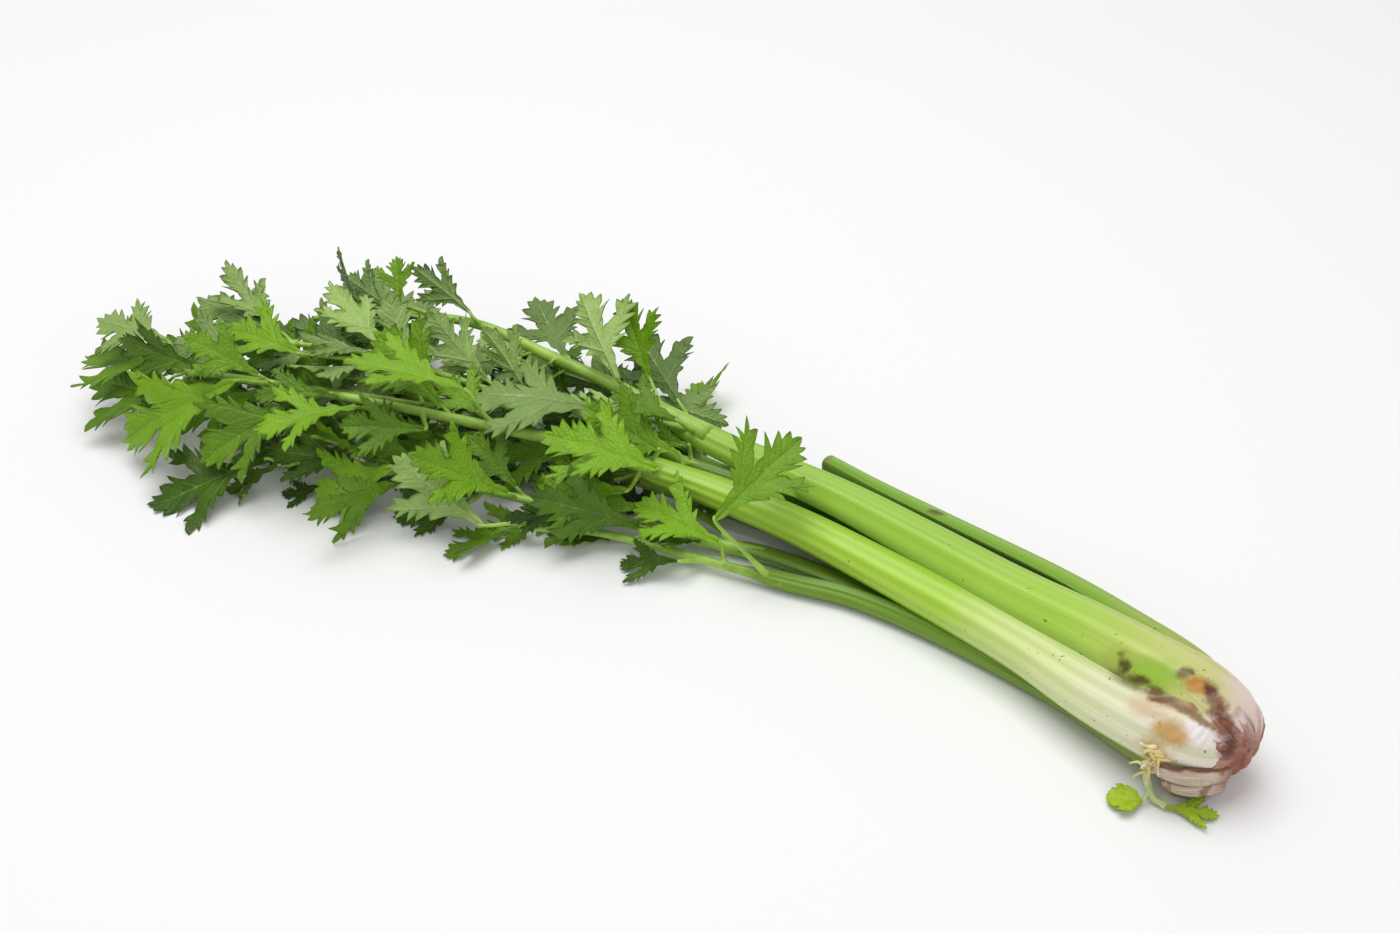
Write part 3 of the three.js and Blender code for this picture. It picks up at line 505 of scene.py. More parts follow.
class Obstacles:
    """The triangles that a new leaflet may not cross."""

    def __init__(self):
        self.triangles = np.zeros((0, 3, 3))
        self.low = np.zeros((0, 3))
        self.high = np.zeros((0, 3))
        self.owner = np.zeros(0, int)
        self.names = []

    def add(self, owner, triangles):
        if owner not in self.names:
            self.names.append(owner)
        self.triangles = np.concatenate([self.triangles, triangles])
        self.low = np.concatenate([self.low, triangles.min(1)])
        self.high = np.concatenate([self.high, triangles.max(1)])
        owners = np.full(len(triangles), self.names.index(owner))
        self.owner = np.concatenate([self.owner, owners])

    def clear(self, triangles, ignore=None):
        low, high = triangles.min(1), triangles.max(1)
        others = np.nonzero(self.low[:, 0] <= high[:, 0].max())[0]
        others = others[self.high[others, 0] >= low[:, 0].min()]
        for axis in (1, 2):
            fits = (self.low[others, axis] <= high[:, axis].max()) & (self.high[others, axis] >= low[:, axis].min())
            others = others[fits]
        if ignore in self.names:
            others = others[self.owner[others] != self.names.index(ignore)]
        meets = (low[:, None] <= self.high[others]).all(2) & (high[:, None] >= self.low[others]).all(2)
        mine, theirs = np.nonzero(meets)
        if not len(mine):
            return True
        s, t = triangles[mine], self.triangles[others[theirs]]
        return not any(cuts(p[:, i], p[:, (i + 1) % 3], q).any() for p, q in ((s, t), (t, s)) for i in range(3))


def cuts(p, q, triangle):
    """Whether each edge from p to q passes through its triangle."""
    a = triangle[:, 0]
    ab, ac, pq, ap = triangle[:, 1] - a, triangle[:, 2] - a, q - p, p - a
    n, m = cross(pq, ac), cross(ap, ab)
    det = (ab * n).sum(1)
    real = np.abs(det) >= LEAST_VOLUME
    det = np.where(real, det, 1)
    s, t, w = (ap * n).sum(1) / det, (pq * m).sum(1) / det, (ac * m).sum(1) / det
    return real & (s >= 0) & (s <= 1) & (t >= 0) & (s + t <= 1) & (w >= 0) & (w <= 1)


def settle(wanted, stalk, obstacles, tries):
    """The place near the wanted one where a leaflet crosses nothing, or None."""
    root, foot, x, z = wanted["root"], wanted["foot"], wanted["x"], wanted["z"]
    length = wanted["length"]
    while length > wanted["length"] * SMALLEST:
        for k in range(tries):
            swing = SWING_STEP * math.sqrt(k)
            y = cross(z, x)
            yaw, pitch = swing * math.cos(SWING_TURN * k), swing * math.sin(SWING_TURN * k)
            roll = ROLL_SHARE * swing * math.sin(ROLL_TURN * k)
            new_x = turned(turned(x, z, yaw), y, pitch)
            new_z = turned(turned(turned(z, z, yaw), y, pitch), new_x, roll)
            reach = turned(turned(foot - root, z, yaw), y, pitch) * mix(1, length / wanted["length"], 0.5)
            leaf = dict(wanted, length=length, x=new_x, z=new_z, y=cross(new_z, new_x), foot=root + reach)
            if new_x[2] * length > wanted["climb"] or leaf["foot"][2] < LOWEST_FOOT:
                continue
            blade = coarse_blade(leaf, GAP)
            if leaf["lowest"] < -FLOOR_SINK or not obstacles.clear(blade[BLADE_TRIANGLES]):
                continue
            if obstacles.clear(coarse_stem(leaf, GAP, blade), stalk["name"]):
                return leaf
        length *= SHRINK
    return None


def leaflet_spec(draw, **fields):
    def between(limits):
        return mix(*limits, draw())

    spec = dict(broad=between(BROAD))
    size = between(ARCH)
    spec["arch"] = size * (1 if draw() < ARCHED_DOWN else -1)
    spec["fold"] = math.radians(between(FOLD))
    spec["wave"] = between(WAVE)
    spec["phase"] = between(WAVE_START)
    spec["sag"] = between(SAG)
    spec.update(stem=STEM_HALF, climb=MOST_CLIMB)
    spec.update(fields)
    return spec


def chosen_leaflets(stalk, curve, draw, chosen=CHOSEN):
    wanted = []
    for name, at, foot, tip, top, arch, tone in chosen:
        if name != stalk["name"]:
            continue
        x = vec(tip) - vec(foot)
        length = np.linalg.norm(x)
        x = x / length
        z = unit(vec(top) - x * (vec(top) @ x))
        root = vec(at) if isinstance(at, tuple) else curve.at(at)
        fields = dict(root=root, foot=vec(foot), x=x, z=z, length=length * CHOSEN_LENGTH, arch=arch, tone=tone)
        wanted.append(leaflet_spec(draw, **fields, climb=math.inf, stem=CHOSEN_STEM_HALF))
    return wanted


def paired_leaflets(stalk, curve, draw):
    wanted = []

    def aim(t, side, yaw, pitch, reach, length):
        point, along, far, up = curve.directions(t)
        face = around(far, up, stalk["leaf_face"])
        across = cross(face, along) * side
        lead = along * math.cos(math.radians(yaw)) + across * math.sin(math.radians(yaw))
        lead = unit(lead - UP * math.sin(math.radians(stalk["droop"] + pitch)))
        z = unit(face - lead * (face @ lead))
        tilt = mix(-MOST_TILT, MOST_TILT, draw())
        fields = dict(root=point, foot=point + lead * reach, x=lead, z=turned(z, lead, tilt))
        fields["length"] = length * mix(*LENGTHS, draw())
        wanted.append(leaflet_spec(draw, **fields))

    if not any(c[0] == stalk["name"] and c[1] == 1 for c in CHOSEN):
        aim(1, 1, 0, 0, END_REACH, LEAFLET_LENGTH * END_LENGTH)
    for pair, t in enumerate(stalk["pairs"]):
        reach = REACH if pair else FIRST_REACH
        for side in (1, -1):
            pitch = mix(-MOST_PITCH, MOST_PITCH, draw())
            wide = stalk["spread"] * mix(*WIDE, draw())
            aim(t, side, wide, pitch, reach, LEAFLET_LENGTH)
            narrow = stalk["spread"] * mix(*NARROW, draw())
            aim(t + INNER_START, side, narrow, -pitch, reach * INNER_REACH, LEAFLET_LENGTH * INNER_LENGTH)
    return wanted


def add_leaflet(top, wanted, obstacles, tries, **marks):
    """Adds a leaflet to its leafy top, where it finds room."""
    leaf = settle(wanted, top["stalk"], obstacles, tries)
    if leaf is None:
        return
    blade = coarse_blade(leaf, 0)
    obstacles.add("blade", blade[BLADE_TRIANGLES])
    obstacles.add(top["stalk"]["name"], coarse_stem(leaf, 0, blade))
    top["leaflets"].append(dict(leaf, **marks))


def place_leaflets():
    """Each leafy top with its curve, radius and placed leaflets, in the CAD source's order."""
    obstacles = Obstacles()
    for stalk in STALKS:
        rings = stalk_skin(stalk, GAP, SHADOW_START, GAP / 2)
        obstacles.add("stalk", np.concatenate(rings)[skin_triangles(rings, stalk_cap())])
    tops = []
    for stalk in STALKS:
        if "pairs" not in stalk:
            continue
        curve = rachis_curve(stalk)
        radius = at3(stalk["width"], 1) * RACHIS_SHARE
        shares = [k / RACHIS_STEPS for k in range(RACHIS_STEPS + 1)]
        rings = [ring_at(curve, s, rachis_radius(radius, s, RACHIS_ROOM), STEM_SIDES) for s in shares]
        obstacles.add(stalk["name"], np.concatenate(rings)[skin_triangles(rings, stem_cap(STEM_SIDES))])
        tops.append(dict(stalk=stalk, curve=curve, radius=radius, leaflets=[], draw=draws(stalk["seed"])))
    for choose in (chosen_leaflets, paired_leaflets):
        plans = [(top, w) for top in tops for w in choose(top["stalk"], top["curve"], top["draw"])]
        for top, wanted in plans:
            add_leaflet(top, wanted, obstacles, TRIES)
    return tops, obstacles


# Further leaflets placed one by one, in the same order of values. Two of them start from a point of their own.
CHOSEN_FURTHER = [
    ("c", 0.02, (8, 22, 42), (-34, 16, 48), (0, -0.5, 0.85), 0.4, 1.0),
    ("c", 0.03, (6, 16, 27), (-34, 10, 20), (0.1, -0.7, 0.7), 0.3, 1.05),
    ("c", 0.04, (2, 36, 41), (-34, 31, 47), (0, -0.4, 0.9), 0.3, 0.6),
    ("d", 0.21, (44, 17, 13), (2, 15, 14), (0, -0.6, 0.8), 0.2, 1.0),
    ("c", 0.36, (-87, 28, 48), (-141, 21, 53), (0, -0.3, 0.95), 0.3, 0.95),
    ("c", 0.59, (-132, 5, 41), (-171, -15, 32), (0, -0.5, 0.85), 0.3, 0.95),
    ("h", 0.97, (-198, 20, 50), (-247, 12, 55), (0, 0.4, -0.9), -0.2, 0.5),
    ("c", 0.14, (-21, 26, 44), (-62, 18, 48), (0, -0.4, 0.9), 0.3, 0.35),
    ("c", 0.12, (-18, 10, 33), (-58, 8, 36), (0, -0.6, 0.8), 0.3, 0.9),
    ("g", 0.68, (-139, -7, 12), (-174, -25, 8), (0, -0.6, 0.8), 0.2, 0.1),
    ("g", 0.56, (-110, -2, 12), (-150, -16, 8), (0, -0.6, 0.8), 0.2, 0.15),
    ("g", 0.81, (-168, -12, 18), (-204, -33, 10), (0, -0.6, 0.8), 0.2, 0.05),
    ("e", 0.57, (-70, 1, 12), (-103, -15, 7), (0, -0.6, 0.8), 0.2, 0.2),
    ("h", 0.04, (6, 61, 28), (-36, 64, 30), (0, 0.5, -0.8), -0.2, 0.6),
    ("f", 0.1, (10, 74, 14), (-23, 70, 18), (0, -0.5, 0.8), 0.2, 0.3),
    ("i", 0.1, (-7, 47, 22), (-46, 43, 24), (0, 0.5, -0.8), -0.2, 0.8),
    ("h", 0.74, (-144, 54, 56), (-190, 48, 58), (0, 0.3, -0.9), -0.2, 0.45),
    ("c", 0.97, (-236, 12, 44), (-279, 14, 46), (0, 0.3, -0.9), -0.2, 0.6),
    ("c", 0.85, (-201, -14, 38), (-245, -28, 34), (0, -0.4, 0.9), 0.3, 0.7),
    ("d", (47, 8, 34), (51, 17, 37), (37, 37, 50), (0, -0.8, 0.6), 0.3, 0.35),
    ("d", (47, 8, 34), (56, 18, 37), (80, 30, 44), (0.2, -0.8, 0.5), 0.4, 0.6),
    ("g", 0.45, (-128, -7, 10), (-160, -26, 6), (0, -0.6, 0.8), 0.2, 0.1),
    ("e", 0.75, (-145, -22, 16), (-173, -39, 7), (0, -0.6, 0.8), 0.2, 0.15),
    ("c", 0.5, (-96, 6, 40), (-128, -12, 34), (0, -0.6, 0.8), 0.3, 0.5),
    ("c", 0.2, (-39, 13, 42), (-72, -5, 44), (0, -0.5, 0.8), 0.3, 0.55),
    ("i", 0.02, (9, 51, 27), (-23, 45, 32), (0, -0.5, 0.8), 0.3, 0.95),
    ("h", 0.03, (12, 58, 32), (-22, 57, 36), (0, -0.5, 0.8), 0.3, 0.7),
    ("c", 0.02, (23, 28, 40), (-8, 37, 46), (0, -0.5, 0.8), 0.4, 0.9),
    ("b", 0.02, (7, 54, 42), (-26, 51, 44), (0, -0.5, 0.8), 0.3, 0.5),
    ("e", 0.1, (3, 25, 16), (-31, 13, 16), (0, -0.6, 0.8), 0.3, 0.85),
    ("e", 0.25, (-29, 9, 14), (-62, -5, 12), (0, -0.6, 0.8), 0.3, 0.4),
]

# Leaflets that fill the heap, so many on each leafy top, in the room that the others leave.
FURTHER = {"b": 14, "c": 24, "d": 0, "e": 20, "f": 16, "g": 22, "h": 14, "i": 14}
FURTHER_SEED = 500
FURTHER_TRIES = 32
FURTHER_CLIMB = 7
FURTHER_START = 0.03
FURTHER_YAW = (3, 30)
FURTHER_PITCH = 10
FURTHER_REACH = (5, 9)
FURTHER_LIFT = (3.5, 7)
FURTHER_DROOP = 0.5
FURTHER_NEAR = 0.2
FURTHER_LENGTH = (34, 54)
FURTHER_BROAD = (0.72, 1)
FURTHER_TILT = 38


def further_leaflets(top):
    """Leaflets that lie over or beside a rachis, all the way to its end."""
    stalk, curve = top["stalk"], top["curve"]
    draw = draws(stalk["seed"] + FURTHER_SEED)
    count = FURTHER[stalk["name"]]
    wanted = []
    for k in range(count):
        t = mix(FURTHER_START, 1, (k + draw()) / count)
        point, along, far, up = curve.directions(t)
        face = around(far, up, stalk["leaf_face"])
        side = 1 if k % 2 else -1
        toward = 1 if face[1] < FURTHER_NEAR else -1
        yaw = math.radians(mix(*FURTHER_YAW, draw()))
        lead = along * math.cos(yaw) + cross(face, along) * side * math.sin(yaw)
        pitch = stalk["droop"] * FURTHER_DROOP + FURTHER_PITCH * (2 * draw() - 1)
        lead = unit(lead - UP * math.sin(math.radians(pitch)))
        z = turned(unit(face - lead * (face @ lead)), lead, FURTHER_TILT * (2 * draw() - 1))
        foot = point + lead * mix(*FURTHER_REACH, draw()) + face * toward * mix(*FURTHER_LIFT, draw())
        fields = dict(root=point, foot=foot, x=lead, z=z, length=mix(*FURTHER_LENGTH, draw()))
        wanted.append(leaflet_spec(draw, **fields, broad=mix(*FURTHER_BROAD, draw()), climb=FURTHER_CLIMB))
    return wanted


def fill_heap(tops, obstacles):
    draw = draws(FURTHER_SEED)
    plans = [(top, chosen_leaflets(top["stalk"], top["curve"], draw, CHOSEN_FURTHER)) for top in tops]
    plans += [(top, further_leaflets(top)) for top in tops]
    for top, several in plans:
        for wanted in several:
            add_leaflet(top, wanted, obstacles, FURTHER_TRIES, further=True)


# Fine meshes. The pieces are made in the same millimetres and go to the part's frame in metres.

# Rows along a stalk and columns round it, for the stalks in view and the ones under them.
STALK_GRID = (150, 72)
INNER_GRID = (96, 48)
LAST_IN_VIEW = "d"
ROWS_AT_BUTT = 1.4
EDGE_ROUNDING = 6
STRING_SPACING = 1.9
FEWEST_STRINGS = 5
STRING_HEIGHT = 0.05
STRING_WANDER = (0.3, 5)
WANDER_START = 6
HOLLOW_RIPPLE = (0.1, 9)
RIB_START = 0.05
END_ROWS = 24
END_REACH_SHARE = 1.9
END_SHRINK = 0.46
END_THICKENING = 1.25
CUT_REACH = 0.6
LOWEST_FLESH = 0.02

# The side of a stalk, -1 or 1 across, on which it is cracked and brown beside its neighbour.
CRACK_SIDES = {"b": -1, "c": 1}
CRACK_DEPTH = 1.3
CRACK_END = 66
CRACK_FROM = 0.7
CRACK_EASE = 0.2

# Dents and, with a depth below 0, lumps of the butt: middle, radius and depth.
DENTS = [
    ((228, -11, 39), 3.5, 1.6), ((263, -16.5, 44), 3, 1.3), ((267, -20.5, 41), 3, 1.1),
    ((258, -15.5, 45), 2.5, 0.7), ((254, -34, 34), 4.5, 1), ((263, -31, 35.5), 5, -1.3),
    ((272, -27, 33), 4, 1.2), ((246, -28, 36), 5, -0.8), ((250, -36, 26), 4, 1),
]
DENT_RIPPLE = (0.4, 19)

BLADE_FINE = 0.42
RIM_FINE = 0.22
VEIN_RISE = 0.45
VEIN_SINK = 0.15
VEIN_FADE = 0.5
MIDRIB_FADE = 0.6
PUFF = 0.28
PUFF_END = 0.98
RIM_JITTER = 0.016
JITTER_FROM = 0.1
DEEPER = (0.02, 0.3)
NOTCH_FROM = 0.11
HALF_BREADTH = (0.78, 1.04)
TOOTH_SWELL = 0.01
RUFFLE = 0.9
RUFFLE_TURNS = 31
RUFFLE_SHIFT = 3
LOWEST_UPPER = 0.15
LOWEST_UNDER = 0.05
ACROSS_STEPS = (0, 0.13, 0.5, 0.87)
OUT_STEPS = (0, 0.08, 0.28, 0.55, 0.82, 1)
PLAIN_STEPS = (0, 0.1, 0.5, 1)

# The lobe vein leaves the midrib at LOBE_START and ends at LOBE_END. Each line of the rim: where its
# column starts on the veins (a number along the midrib, or L and a share of the lobe vein), the point on
# the rim, and how strong a vein runs there.
LOBE_START = (0.3, 0)
LOBE_END = (0.74, 0.415)
RIM = [
    (0, (0, 0.021), 0), (0.15, (0.16, 0.05), 0), (0.27, (0.3, 0.115), 0), ("L", 0, (0.345, 0.15), 0),
    ("L", 0.1, (0.4, 0.235), 0.5), ("L", 0.18, (0.44, 0.195), 0), ("L", 0.3, (0.5, 0.335), 0.6),
    ("L", 0.4, (0.525, 0.245), 0), ("L", 0.5, (0.565, 0.4), 0.8), ("L", 0.6, (0.6, 0.29), 0),
    ("L", 0.7, (0.655, 0.44), 0.7), ("L", 0.8, (0.672, 0.365), 0), ("L", 1, (0.755, 0.425), 0),
    ("L", 0.8, (0.71, 0.33), 0), ("L", 0.62, (0.76, 0.295), 0.7), ("L", 0.45, (0.675, 0.225), 0),
    ("L", 0.2, (0.655, 0.155), 0), ("L", 0, (0.63, 0.122), 0), (0.4, (0.65, 0.11), 0), (0.5, (0.7, 0.125), 0),
    (0.58, (0.8, 0.225), 0.8), (0.63, (0.785, 0.15), 0), (0.69, (0.88, 0.185), 0.8), (0.76, (0.865, 0.1), 0),
    (0.83, (0.955, 0.1), 0.7), (0.89, (0.93, 0.045), 0), (0.97, (1, 0), 0),
]

# A leafy piece's materials, in their order.
UPPER, UNDER, STEM = 0, 1, 2

# Sides, steps and start of the little stems, and how they taper and swell at the rachis.
RACHIS_GRID = (14, 60)
STEM_GRID = (8, 12)
STEM_START = 0.22
STEM_TIP = 0.55
STEM_FOOT = 1.15
STEM_SWELL = (4, 0.8)

# How bright a leaflet's green is: at least, by chance, and by its height, a painted shade that darkens the leaflets
# lying low in the heap.
DARKEST = 0.02
TONE_SPREAD = 0.8
FURTHER_SPREAD = 0.5
HEIGHT_PAINTED_SHADE = 0.3 / 70

# How far each leaflet of the shoot is rounded, from toothed to a plain disc, and what that takes off its breadth.
SHOOT_ROUNDED = (0, 0.65)
SHOOT_BREADTH = (0.75, 0.65)
SHOOT_GRID = (12, 24)
SHOOT_STEM_GRID = (8, 10)
SHOOT_STEM_START = 0.25
SHOOT_STEM_RADIUS = 0.8


def to_part(points):
    return (np.asarray(points, float) - HEAD_CENTRE) / 1000


class Piece:
    """A mesh that is filled bit by bit: points, faces with their material, and numbers at each point."""

    def __init__(self, name, looks, *numbers):
        self.name, self.looks = name, looks
        self.points, self.faces, self.kinds = [], [], []
        self.numbers = {key: [] for key in numbers}
        self.count = 0

    def add(self, points, faces, kind=0, **numbers):
        points = np.asarray(points, float)
        self.points.append(points)
        self.faces += [tuple(int(i) + self.count for i in face) for face in faces]
        self.kinds += [kind] * len(faces)
        for key, values in self.numbers.items():
            values.append(np.broadcast_to(numbers.get(key, 0), len(points)))
        self.count += len(points)

    def make(self, slot, *nodes):
        mesh = bpy.data.meshes.new(self.name)
        mesh.from_pydata(to_part(np.concatenate(self.points)).tolist(), [], self.faces)
        for look in self.looks:
            mesh.materials.append(look)
        mesh.polygons.foreach_set("material_index", self.kinds)
        mesh.polygons.foreach_set("use_smooth", [True] * len(self.faces))
        for key, values in self.numbers.items():
            mesh.attributes.new(key, "FLOAT", "POINT").data.foreach_set("value", np.concatenate(values))
        mesh.update()
        piece = bpy.data.objects.new(self.name, mesh)
        bpy.context.scene.collection.objects.link(piece)
        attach(piece, "root")
        if nodes:
            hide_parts(*nodes)


def grid_faces(rows, columns, closed=False, flip=False):
    """Quads between rows of points. A closed grid joins its last column to its first."""
    faces = []
    for r in range(rows - 1):
        for c in range(columns if closed else columns - 1):
            d = (c + 1) % columns
            face = (r * columns + c, r * columns + d, (r + 1) * columns + d, (r + 1) * columns + c)
            faces.append(face[::-1] if flip else face)
    return faces


def skin_faces(rows, columns, flip=False):
    """A closed grid whose first and last rows are filled."""
    last = (rows - 1) * columns
    ends = [tuple(range(columns - 1, -1, -1)), tuple(range(last, last + columns))]
    return grid_faces(rows, columns, True, flip) + [end[::-1] if flip else end for end in ends]


def tube(piece, curve, radius, grid, kind, start=0):
    """A round tapering stem along a curve, closed by points at its ends."""
    sides, steps = grid
    points = []
    for k in range(steps + 1):
        s = mix(start, 1, k / steps)
        points += ring_at(curve, s, radius(s), sides)
    points += [curve.at(start), curve.at(1)]
    faces = grid_faces(steps + 1, sides, closed=True)
    last = steps * sides
    for i in range(sides):
        j = (i + 1) % sides
        faces += [(j, i, last + sides), (last + i, last + j, last + sides + 1)]
    piece.add(points, faces, kind)


def rim_columns(draw, rounded):
    """Columns of half a blade: start on the veins, end on the rim, strength of the vein, share of a puff."""
    starts, ends, veins = [], [], []
    deeper = mix(*DEEPER, draw())
    for line in RIM:
        if line[0] == "L":
            share, rim, vein = line[1:]
            start = [mix(a, b, share) for a, b in zip(LOBE_START, LOBE_END)]
        else:
            share = 0
            at, rim, vein = line
            start = [at, 0]
        notch = vein == 0 and rim[1] > NOTCH_FROM and share != 1
        stray = [RIM_JITTER * (2 * draw() - 1) * (rim[1] > JITTER_FROM) for _ in rim]
        starts.append(start)
        ends.append([mix(a, b, deeper if notch else 0) + c for a, b, c in zip(rim, start, stray)])
        veins.append(vein)
    starts, ends, veins = vec(starts), vec(ends), vec(veins)
    turn = np.pi * (1 - np.arange(len(RIM)) / (len(RIM) - 1))
    ends = ends * [1, mix(*HALF_BREADTH, draw())]
    ends = mix(ends, np.stack((0.5 + 0.5 * np.cos(turn), 0.5 * np.sin(turn)), 1), rounded)
    columns = []
    for i in range(len(RIM) - 1):
        for step in ACROSS_STEPS:
            fades = [max(0, 1 - t / ACROSS_STEPS[1]) for t in (step, 1 - step)]
            strength = veins[i] * fades[0] + veins[i + 1] * fades[1]
            start, end = mix(starts[i], starts[i + 1], step), mix(ends[i], ends[i + 1], step)
            middle = math.sin(math.pi * step)
            columns.append((start, end + unit(end - start) * TOOTH_SWELL * middle, strength, middle))
    columns.append((starts[-1], ends[-1], 0, 0))
    return columns


def fine_blade(piece, leaf, draw, tone):
    """A leaflet's blade: two halves, each a grid from the veins out to the toothed rim."""
    out_steps = PLAIN_STEPS if "further" in leaf and "tone" not in leaf else OUT_STEPS
    rows = len(out_steps)
    size = leaf["length"] / LEAFLET_LENGTH
    for side in (1, -1):
        columns = rim_columns(draw, leaf.get("rounded", 0))
        starts, ends = (np.array([c[i] for c in columns])[:, None] for i in (0, 1))
        strength, middle = (np.repeat([c[i] for c in columns], rows) for i in (2, 3))
        u, v = (starts + (ends - starts) * np.array(out_steps)[None, :, None]).reshape(-1, 2).T
        out = np.tile(out_steps, len(columns))
        vein = np.where(out == 0, 1, strength * (1 - VEIN_FADE * out))
        points, normal = blade_points(leaf, u, v * side)
        puff = PUFF * middle * np.sin(np.pi * np.minimum(out, PUFF_END))
        puff = size * (puff + RUFFLE * out**2 * np.sin(RUFFLE_TURNS * u + RUFFLE_SHIFT * leaf["phase"] + side))
        half = np.where(out < 1, BLADE_FINE, RIM_FINE) / 2
        top = points + normal * (half + puff - VEIN_SINK * vein)[:, None]
        bottom = points + normal * (puff - half - VEIN_RISE * vein * (1 - MIDRIB_FADE * u))[:, None]
        top[:, 2] = np.maximum(top[:, 2], LOWEST_UPPER)
        bottom[:, 2] = np.maximum(bottom[:, 2], LOWEST_UNDER)
        numbers = dict(vein=vein, out=out, tone=tone)
        faces = grid_faces(len(columns), rows, flip=side > 0)
        piece.add(top, faces, UPPER, **numbers)
        piece.add(bottom, [f[::-1] for f in faces], UNDER, **numbers)
        rim = [piece.count - 2 * len(top) + c * rows + rows - 1 for c in range(len(columns))]
        sides = [(a, b, b + len(top), a + len(top)) for a, b in zip(rim, rim[1:])]
        piece.faces += [f[::-side] for f in sides]
        piece.kinds += [UNDER] * len(sides)


def top_piece(top, looks, draw):
    """A leafy top: its rachis, and each leaflet with its little stem."""
    piece = Piece("frond_" + top["stalk"]["name"], looks, "vein", "out", "tone")
    tube(piece, top["curve"], lambda s: rachis_radius(top["radius"], s), RACHIS_GRID, STEM)
    for leaf in top["leaflets"]:
        spread = FURTHER_SPREAD if "further" in leaf else TONE_SPREAD
        # A leaflet without a given tone is darker the lower its foot lies: painted shade of the heap's depths.
        tone = leaf.get("tone", DARKEST + spread * draw() + leaf["foot"][2] * HEIGHT_PAINTED_SHADE)
        fine_blade(piece, leaf, draw, tone)

        def thickness(t):
            swell = 1 + STEM_SWELL[0] * max(0, t - STEM_SWELL[1])
            return mix(STEM_TIP, leaf["stem"] * STEM_FOOT, t) * swell

        tube(piece, stem_curve(leaf), thickness, STEM_GRID, STEM, STEM_START)
    return piece


def shoot_piece(looks, draw):
    piece = Piece("young_shoot", looks, "vein", "out", "tone")
    curve = Curve(SHOOT)
    tube(piece, curve, lambda t: mix(*SHOOT_RADIUS, t), SHOOT_GRID, STEM)
    for (at, foot, tip, broad), rounded in zip(SHOOT_LEAFLETS, SHOOT_ROUNDED):
        x = vec(tip) - vec(foot)
        length = np.linalg.norm(x)
        x = x / length
        y = unit(np.cross(UP, x))
        leaf = dict(root=curve.at(at), foot=vec(foot), x=x, y=y, z=np.cross(x, y), length=length, **SHOOT_SHAPE)
        leaf.update(broad=broad * mix(*SHOOT_BREADTH, rounded), rounded=rounded)
        fine_blade(piece, leaf, draw, 1 + rounded)
        tube(piece, stem_curve(leaf), lambda _: SHOOT_STEM_RADIUS, SHOOT_STEM_GRID, STEM, SHOOT_STEM_START)
    return piece


def stalk_piece(stalk, look, draw):
    """A stalk with its fine strings, its rounded edges and a dome where the leafy top starts."""
    name, cut = stalk["name"], "pairs" not in stalk
    piece = Piece("flesh_" + name, [look], "run", "across", "rib")
    curve = Curve(stalk["path"])
    along_rows, columns = STALK_GRID if name <= LAST_IN_VIEW else INNER_GRID
    angle = np.linspace(0, 2 * np.pi, columns, endpoint=False)
    q = -np.cos(angle)
    outer = angle < np.pi
    face = np.where(outer, 1.0, -1.0)
    round_off = np.sqrt(np.clip(1 - np.abs(q) ** EDGE_ROUNDING, 0, 1))
    broad = (0.5 - 0.5 * np.cos(np.pi * RIBS * (q + 1))) * RIB_HEIGHT - RIB_HEIGHT / 2
    cracked = np.clip((q * CRACK_SIDES.get(name, 0) - CRACK_FROM) / CRACK_EASE, 0, 1) * outer * round_off
    strings = max(FEWEST_STRINGS, round(stalk["width"][1] / STRING_SPACING))
    wander = WANDER_START * draw()
    points, runs, ribs, reach, before = [], [], [], 0, None
    rows = along_rows + END_ROWS
    length = np.linalg.norm(np.diff(vec(stalk["path"][: stalk["node"] + 1]), axis=0), axis=1).sum()
    beyond = CUT_REACH if cut else stalk["width"][2] * END_REACH_SHARE
    for k in range(rows + 1):
        past = max(0, k - along_rows) / END_ROWS
        s = min(1, k / along_rows) ** ROWS_AT_BUTT + past * beyond / length
        middle, _, across, out = stalk_frame(stalk, curve, s)
        width, depth, bow = stalk_section(stalk, min(1, s))
        eased = past * past * (3 - 2 * past)
        shrink, thickening = (1, 1) if cut else (mix(1, END_SHRINK, eased), mix(1, END_THICKENING, eased))
        reach += 0 if before is None else np.linalg.norm(middle - before)
        before = middle
        turn = STRING_WANDER[0] * math.sin(wander + STRING_WANDER[1] * s)
        fine = np.abs(np.sin(np.pi * strings / 2 * (q + 1) + turn))
        ridge = (broad + STRING_HEIGHT * (1 - 2 * fine)) * (1 - eased)
        ridge = np.where(outer, ridge, HOLLOW_RIPPLE[0] * np.sin(HOLLOW_RIPPLE[1] * q)) * round_off
        thick = depth * thickening * (1 - EDGE_THINNING * q * q) * round_off
        x = q * width / 2 * np.where(outer, 1, 1 - (1 - INNER_SHARE) * round_off) * shrink
        y = (-bow * q * q + face * thick / 2 + ridge * min(1, s / RIB_START)) * shrink
        y = y - CRACK_DEPTH * cracked * max(0, math.sin(math.pi * min(1, reach / CRACK_END)))
        ring = middle + across * x[:, None] + out * y[:, None]
        for where, size, low in DENTS:
            near = np.exp(-((ring - vec(where)) ** 2).sum(1) / size**2)
            ring = ring - out * (low * near * (1 + DENT_RIPPLE[0] * np.sin(DENT_RIPPLE[1] * q + k)))[:, None]
        ring[:, 2] = np.maximum(ring[:, 2], LOWEST_FLESH)
        points.append(ring)
        runs.append(reach)
        ribs.append(1 - fine)
    piece.add(
        np.concatenate(points), skin_faces(rows + 1, columns, flip=True), run=np.repeat(runs, columns),
        across=np.tile(q, rows + 1), rib=np.concatenate(ribs),
    )
    return piece


CROWN_GRID = (60, 120)
FINE_LUMP = (0.35, (23, 17), (40, -60))
CROWN_AXIS = vec([math.cos(math.radians(CROWN_YAW)), math.sin(math.radians(CROWN_YAW)), 0])
CROWN_FAR = np.cross(UP, CROWN_AXIS)


